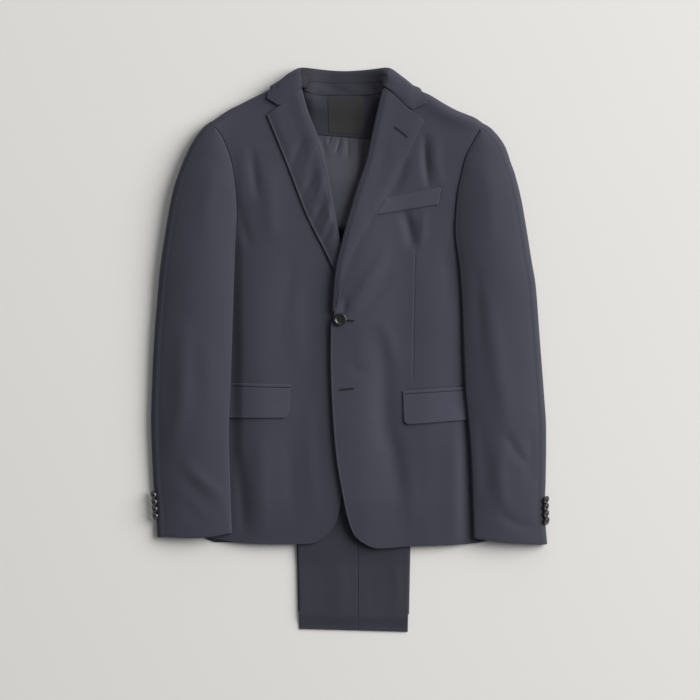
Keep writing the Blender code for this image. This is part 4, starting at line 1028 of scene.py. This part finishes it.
def lapel(side):
    sign = SIGN[side]
    inner = edge(shifted(ROLL_LINE[side], -sign * (LAPEL_ROLL + JACKET_WALL / 2)))
    outer = edge(LAPEL_EDGE[side])
    us = np.concatenate([np.linspace(0, 0.91, 38), 1 - 2.4 * np.array(EDGE_COLUMNS[::-1])])
    rows = patch(rung(inner, outer, 0), edge([inner(1), *LAPEL_TOP[side]]), inner, outer, us,
                 even(150), lapel_height_of(side))
    rows[..., 2] += bead(rows - rows[:, -1:])
    to_edge = np.linalg.norm((rows - rows[:, -1:])[..., :2], axis=-1)
    rows[..., 2] -= LAPEL_PRESS * np.exp(-(to_edge / 9) ** 2) * smoothstep(95, 185, rows[..., 1])
    columns = across_rows(rows)[::-1]
    x, y, z = columns[-1].T
    columns = rolled(columns, LAPEL_ROLL, z - front_height_of(side)(x, y), pi, TURN_STEPS)
    cloth("lapel_cloth_" + side, "lapel_" + side, columns, SLEEVE_WALL)


def all_ribs():
    """The collar's ribs in one run, from its end at the wearer's right to the other."""
    found = []
    for side in (RIGHT, LEFT):
        lapel_at = lapel_height_of(side)
        ribs = [[(x, y, float(lapel_at(np.float64(x), np.float64(y))) if z is None else z)
                 for x, y, z in rib] for rib in COLLAR_RIBS[side]]
        found += ribs[::-1] if side == RIGHT else ribs
    return found


def collar():
    """One strip from end to end: its inner part, the roll, and the fall that turns down behind."""
    ribs = all_ribs()
    lines = [edge([rib[k] for rib in ribs]) for k in range(len(ribs[0]))]
    rows = np.array([edge([line(t) for line in lines], steps=6)(even(36)) for t in even(130)])
    rows[..., 2] = np.maximum(rows[..., 2], COLLAR_WALL / 2 + 0.05)
    cloth("collar_cloth", "collar", rows, COLLAR_WALL,
          SHADED_COLLAR_WOOL, rim=0.2)


def stand():
    """From the neck seam up to the collar's inner edge, a little rippled."""
    inner_edge = [(x - NECK_GAP * (x - CENTRE_X) / 55, y - NECK_GAP, z)
                  for x, y, z in (rib[0] for rib in all_ribs())]
    vs = even(14)
    rows = between(edge(NECK_SEAM), edge(inner_edge), even(90), vs)
    across, up = rows[..., 0], np.broadcast_to(vs[:, None], rows.shape[:2])
    ripple = np.sin(across / 9.0 + 2.2 * up) * np.sin(pi * up) * smoothstep(0, 0.3, up)
    rows[..., 2] += STAND_RIPPLE * ripple
    cloth("collar_stand_cloth", "collar_stand", rows, COLLAR_WALL, SHADED_NECK_WOOL,
          rim=0.14)


def facing_height(x, y):
    """On the back, and up with the neck seam towards the sides."""
    seam = edge(NECK_SEAM)
    flat = back_height(x, y) + (JACKET_WALL + FACING_WALL) / 2 + LAID_GAP
    at_seam = seam((x - NECK_SEAM[0][0]) / (NECK_SEAM[-1][0] - NECK_SEAM[0][0]))[..., 2]
    return flat + np.maximum(0.0, at_seam - 1.6 - flat) * smoothstep(376, 407, y)


def facing():
    """The back neck facing, from the neck seam down to its own hem."""
    high = edge([(x, y - NECK_GAP - 0.25) for x, y, z in NECK_SEAM])
    rows = between(edge(FACING_HEM), high, even(90), even(40), facing_height)
    cloth("neck_facing", "back_neck_facing", rows, FACING_WALL, SHADED_NECK_WOOL, rim=0.14)


def lining_height(x, y):
    """On the back under the fronts, and swollen up between them, with gathers at the facing."""
    along_y = smoothstep(176, 200, y) * (1 - smoothstep(262, 340, y))
    across = 1 - smoothstep(22, 66, np.abs(x + 14 + 0.12 * (y - 260)))
    flat = JACKET_WALL + SEAM_GAP + LINING_WALL / 2
    return flat + LINING_SWELL * along_y * across + fold_relief(LINING_FOLDS, x, y)


def lining():
    """The back lining, from the facing's hem down to where the lapels cover it."""
    high = edge([(x, y - 1) for x, y in FACING_HEM])
    rows = between(edge([(-92, 176), (76, 176)]), high, even(120), even(110), lining_height)
    cloth("lining_cloth", "back_lining", rows, LINING_WALL, SATIN)


def label():
    """A bare patch on the facing."""
    def height(x, y):
        return facing_height(x, y) + (FACING_WALL + LABEL_WALL) / 2 + 0.05

    low, high = edge([(-34.5, 347.5), (21.5, 345)]), edge([(-35.5, 402), (20.5, 402)])
    rows = between(low, high, even(40), even(36), height)
    cloth("label_patch", "label_bare", rows, LABEL_WALL, LABEL_CLOTH)


# Pockets

def on_front(side, name, node, corners, wall, columns, rows_up, radius=0.0, lift=0.0, crown=0.0):
    """A piece that lies on a front, from its corners. radius rounds the lower ones, lift raises the
    lower edge and crown the middle."""
    lower_left, lower_right, upper_left, upper_right = (np.array(c, float) for c in corners)
    length = np.linalg.norm(upper_left - lower_left)
    vs = even(rows_up, 1.4 if radius else 1.0)
    rows = []
    for v in vs:
        start = lower_left + (upper_left - lower_left) * v
        end = lower_right + (upper_right - lower_right) * v
        short = max(0.0, radius - length * v)
        inset = radius - (radius ** 2 - short ** 2) ** 0.5
        inset = (end - start) / np.linalg.norm(end - start) * inset
        rows.append([(start + inset) + (end - start - 2 * inset) * u for u in even(columns)])
    flat = np.array(rows)
    free = (1 - vs)[:, None] ** 2
    front_at = front_height_of(side)(flat[..., 0], flat[..., 1])
    height = (front_at + (JACKET_WALL + wall) / 2 + LAID_GAP + lift * free
              + crown * np.sin(pi * (1 - free ** 0.5)))
    # Painted light: the pocket pieces wear the lighter copy of the wool.
    cloth(name, node, np.dstack([flat, height]), wall,
          LIT_POCKET_WOOL)


def pockets():
    for side in (LEFT, RIGHT):
        on_front(side, "flap_" + side, "pocket_flap_" + side, FLAP[side], FLAP_WALL, 70, 24,
                 FLAP_RADIUS, 1.3)
        on_front(side, "jet_" + side, "pocket_jet_" + side, JET[side], JET_WALL, 70, 8, crown=0.45)
    on_front(LEFT, "welt", "chest_welt", WELT, FLAP_WALL, 50, 14, lift=0.4)


# Trousers

def leg_panel(name, node, layer, sign):
    """Half of a leg: from the outseam on top, round the pressed crease, to the inseam below."""
    lower = layer == 0
    hem_y = TROUSER_HEM_Y + (UNDER_LEG_SHIFT if lower else 0)
    grow, lift = (1.6, 0.0) if lower else (0.0, LEG_STEP)
    roll = LEG_RING * 0.6

    def hem_at(x):
        return hem_y + HEM_SLOPE * (x - TROUSER_CENTRE_X)

    def base(x, y):
        onto = 1.0 if lower else smoothstep(TROUSER_HEM_Y + 3, TROUSER_HEM_Y + UNDER_LEG_SHIFT - 3,
                                            y - HEM_SLOPE * (x - TROUSER_CENTRE_X))
        return leg_base(y) + lift * onto + TROUSER_WALL / 2

    ys = hem_y + (TROUSER_FOLD_Y - SEAM_GAP - hem_y) * even(190, 1.2)
    half_width = along(LEG, ys, "half_width") + grow - roll - TROUSER_WALL / 2
    crease = TROUSER_CENTRE_X + sign * half_width
    start = OUTSEAM_X + sign * SEAM_GAP / 2
    us = even(34)[:, None]
    x = start + (crease[None, :] - start) * us
    y = ys[None, :] + (hem_at(x) - hem_y) * smoothstep(-360, -425, ys)[None, :]
    top = np.dstack([x, y, base(x, y) + LEG_RING])
    if not lower:
        top[..., 2] += np.maximum(fold_relief(LEG_FOLDS, x, y) * smoothstep(0, 0.25, 1 - us), -0.35)
    columns = rolled(top, roll, LEG_RING, pi, 8)
    turn = columns[-1]
    under = []
    for share in even(6)[1:]:
        p = turn[:, :2] + (top[0][:, :2] - turn[:, :2]) * share
        under.append(np.column_stack([p, base(p[:, 0], p[:, 1])]))
    cloth(name, node, np.concatenate([columns, under]), TROUSER_WALL,
          TROUSER_WOOL)


def trouser_top():
    """The folded upper part inside the jacket: the model's own form, shaded smooth."""
    for name, node, flat in (("trouser_seat", "trousers_seat", (0.262, 0.366)),
                             ("trouser_waistband", "trousers_waistband", (0.222, 0.038))):
        deselect()
        obj = placed(name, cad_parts[node].data.copy())
        obj.data.name = name
        mesh = bmesh.new()
        mesh.from_mesh(obj.data)
        bmesh.ops.remove_doubles(mesh, verts=mesh.verts, dist=1e-6)
        mesh.to_mesh(obj.data)
        mesh.free()
        dress(obj, TROUSER_WOOL)
        obj.data.shade_smooth()
        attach(obj, "root")
        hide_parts(node)


# Sewing and buttons

def tube(name, points, radius, material, closed=False, stitch=0.0):
    """A thread along the points. A stitch above 0 narrows it at every other point."""
    deselect()
    curve = bpy.data.curves.new(name, "CURVE")
    curve.dimensions = "3D"
    spline = curve.splines.new("POLY")
    spline.points.add(len(points) - 1)
    for k, (point, p) in enumerate(zip(spline.points, points)):
        point.co = (*(Vector(p) * MM), 1)
        point.radius = 1 - stitch * (k % 2)
    spline.use_cyclic_u = closed
    curve.bevel_depth = radius * MM
    curve.bevel_resolution = 2
    curve.use_fill_caps = not closed
    obj = placed(name, curve)
    obj.select_set(True)
    bpy.context.view_layer.objects.active = obj
    bpy.ops.object.convert(target="MESH")
    obj = bpy.context.active_object
    obj.data.name = name
    dress(obj, material)
    obj.data.shade_smooth()
    return obj


def join(name, *objects):
    deselect()
    for obj in objects:
        obj.select_set(True)
    bpy.context.view_layer.objects.active = objects[0]
    bpy.ops.object.join()
    whole = bpy.context.active_object
    whole.name = whole.data.name = name
    return whole


def buttonhole(name, height, start, end, half_width=1.25, eyelet=1.9):
    """A worked buttonhole: a cord of close stitches about a dark slit, with a round end."""
    start, end = np.array(start, float), np.array(end, float)
    way = (end - start) / np.linalg.norm(end - start)
    aside = np.array([-way[1], way[0]])
    length = np.linalg.norm(end - start)
    outline = []
    for t in np.linspace(0, 2 * pi, 96, endpoint=False):
        reach = length / 2 * np.sign(cos(t)) * abs(cos(t)) ** 0.35
        wide = half_width * np.sign(sin(t)) * abs(sin(t)) ** 0.6
        if reach < 0:
            bulge = float(smoothstep(0.62, 0.9, -reach / (length / 2)))
            wide *= 1 + (eyelet / half_width - 1) * bulge
        outline.append((start + end) / 2 + way * reach + aside * wide)
    outline = along_line(np.array([*outline, outline[0]]))(np.linspace(0, 1, 121)[:-1])
    tops = height(outline[:, 0], outline[:, 1])
    ring = [(x, y, z + 0.25) for (x, y), z in zip(outline, tops)]
    cord = tube(name, ring, 0.62, THREAD, closed=True, stitch=0.28)
    deselect()
    bpy.ops.mesh.primitive_grid_add(x_subdivisions=24, y_subdivisions=4)
    slit = bpy.context.active_object
    for vertex in slit.data.vertices:
        u, v = vertex.co.x, vertex.co.y
        p = (start + end) / 2 + way * u * length / 2 + aside * v * half_width * (1 - 0.5 * u * u)
        z = float(height(np.array(p[0]), np.array(p[1])))
        vertex.co = Vector((p[0], p[1], z + 0.12 - 0.1 * (1 - v * v))) * MM
    dress(slit, SHADE)
    apply(slit, "SOLIDIFY", "Wall", thickness=0.3 * MM, offset=-1)
    whole = join(name, cord, slit)
    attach(whole, "root")


# The face of a button: insets from its rim to its middle, each a width as a share of the radius and
# a rise as a share of the thickness. The holes are shares of the radius too.
BUTTON_FACE = ((0.10, 0.10), (0.16, 0.0), (0.12, -0.26), (0.20, -0.06))
HOLE_CIRCLE, HOLE_RADIUS = 0.26, 0.105


def select_faces(obj, way):
    """In edit mode, the faces that look up (way 1) or down (way -1)."""
    bpy.ops.mesh.select_all(action="DESELECT")
    for face in bmesh.from_edit_mesh(obj.data).faces:
        face.select = face.normal.z * way > 0.9
    bmesh.update_edit_mesh(obj.data)


def button(name, node):
    """A turned button at its node: a broad rim, a dished middle, four holes and their thread."""
    co = np.array([v.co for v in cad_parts[node].data.vertices]) / MM
    middle = (co.min(0) + co.max(0)) / 2
    co = np.unique(co.round(4), axis=0)
    up = Vector(np.linalg.eigh(np.cov((co - co.mean(0)).T))[1][:, 0])
    up = up if up.z > 0 else -up
    along_up = (co - middle) @ np.array(up)
    aside = np.linalg.norm(co - middle - np.outer(along_up, up), axis=1)
    radius, thick = aside.max(), np.ptp(along_up)
    deselect()
    bpy.ops.mesh.primitive_cylinder_add(vertices=72, radius=radius * MM, depth=thick * MM)
    disc = bpy.context.active_object
    disc.name = disc.data.name = name
    bpy.ops.object.mode_set(mode="EDIT")
    bpy.ops.mesh.select_mode(type="FACE")
    select_faces(disc, 1)
    for width, rise in BUTTON_FACE:
        bpy.ops.mesh.inset(thickness=radius * width * MM, depth=thick * rise * MM)
    select_faces(disc, -1)
    bpy.ops.mesh.inset(thickness=radius * 0.22 * MM, depth=thick * 0.04 * MM)
    bpy.ops.object.mode_set(mode="OBJECT")
    places = [(radius * HOLE_CIRCLE * cos(turn), radius * HOLE_CIRCLE * sin(turn))
              for turn in (pi / 4 + k * pi / 2 for k in range(4))]
    for x, y in places:
        deselect()
        bpy.ops.mesh.primitive_cylinder_add(vertices=20, radius=radius * HOLE_RADIUS * MM,
                                            depth=thick * 3 * MM, location=(x * MM, y * MM, 0))
        drill = bpy.context.active_object
        apply(disc, "BOOLEAN", "Hole", operation="DIFFERENCE", solver="EXACT", object=drill)
        bpy.data.objects.remove(drill)
    apply(disc, "BEVEL", "Rim", width=thick * 0.07 * MM, segments=3, limit_method="ANGLE",
          angle_limit=radians(32))
    dress(disc, HORN)
    deselect()
    disc.select_set(True)
    bpy.context.view_layer.objects.active = disc
    bpy.ops.object.shade_smooth_by_angle(angle=radians(38))
    dish_z = thick * sum((rise for width, rise in BUTTON_FACE), 0.5)
    strands = []
    for (ax, ay), (bx, by) in zip(places[::2], places[1::2]):
        for k in (-1, 0, 1):
            line = []
            for t in np.linspace(0, 1, 9):
                bow = sin(pi * t)
                line.append((ax + (bx - ax) * t,
                             ay + (by - ay) * t + k * radius * 0.045 * (0.4 + bow * 0.6),
                             dish_z - thick * 0.30 * (1 - min(1, bow * 2.2)) + radius * 0.05 * bow))
            strands.append(tube(name, line, radius * 0.032, THREAD))
    whole = join(name, disc, *strands)
    turn = up.to_track_quat("Z", "Y").to_matrix().to_4x4()
    whole.data.transform(Matrix.Translation(Vector(middle) * MM) @ turn)
    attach(whole, "root")
    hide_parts(node)


# The suit

for side in (LEFT, RIGHT):
    back(side)
    side_body(side)
    front(side)
    sleeve_upper(side)
    sleeve_under(side)
    lapel(side)
    for k in range(1, CUFF_BUTTONS + 1):
        button("sleeve_button_" + side + "_" + str(k), "cuff_button_" + side + "_" + str(k))
collar()
stand()
facing()
lining()
label()
pockets()
button("button_front", "front_button")
for layer, name in enumerate(("under_", "upper_")):
    for half, sign in (("front", 1), ("back", -1)):
        leg_panel("trouser_" + name + half, "leg_" + name + half, layer, sign)
trouser_top()


def over_front(x, y):
    return front_height_of(LEFT)(x, y) + JACKET_WALL / 2


def over_lapel(x, y):
    return lapel_height_of(LEFT)(x, y) + SLEEVE_WALL / 2


buttonhole("buttonhole_upper", over_front, (-12, 47.4), (7.2, 46.2), 1.5)
buttonhole("buttonhole_lower", over_front, (-16.4, -63.8), (6.6, -61.4), 1.35)
buttonhole("buttonhole_lapel", over_lapel, (71.5, 356.0), (92.0, 340.0), 1.1, 1.5)

# Floor, light and camera

deselect()
bpy.ops.mesh.primitive_plane_add(size=14, location=(0, 0, -0.0002))
floor = bpy.context.active_object
floor.name = "floor"
floor.data.materials.append(floor_paint("pale_floor", (0.87, 0.868, 0.845)))

world = bpy.data.worlds.new("room")
bpy.context.scene.world = world
world.use_nodes = True
backdrop = world.node_tree.nodes["Background"].inputs
backdrop["Color"].default_value = (0.98, 0.99, 1.0, 1)
backdrop["Strength"].default_value = 0.165


def area_light(name, place, size, energy, colour):
    """A round lamp that looks at the middle of the suit."""
    light = bpy.data.lights.new(name, "AREA")
    light.shape = "DISK"
    light.size, light.energy, light.color = size, energy, colour
    obj = placed(name, light)
    obj.location = place
    obj.rotation_euler = (-Vector(place)).to_track_quat("-Z", "Y").to_euler()


area_light("key", (7.7, 3.2, 5.5), 8.6, 1290, (1.0, 0.985, 0.968))
area_light("top", (0.6, 8.6, 3.2), 6.5, 130, (1.0, 0.99, 0.98))

CAMERA_HEIGHT = 8.0        # metres, as are the next two
MEAN_HEIGHT = 0.012        # of the cloth that faces the camera
VIEW_WIDTH = 1.12
camera = bpy.data.cameras.new("camera")
camera.lens = camera.sensor_width * (CAMERA_HEIGHT - MEAN_HEIGHT) / VIEW_WIDTH
camera.clip_end = 100
eye = placed("camera", camera)
eye.location = (0, 0, CAMERA_HEIGHT)
bpy.context.scene.camera = eye
bpy.context.scene.view_settings.view_transform = "Standard"
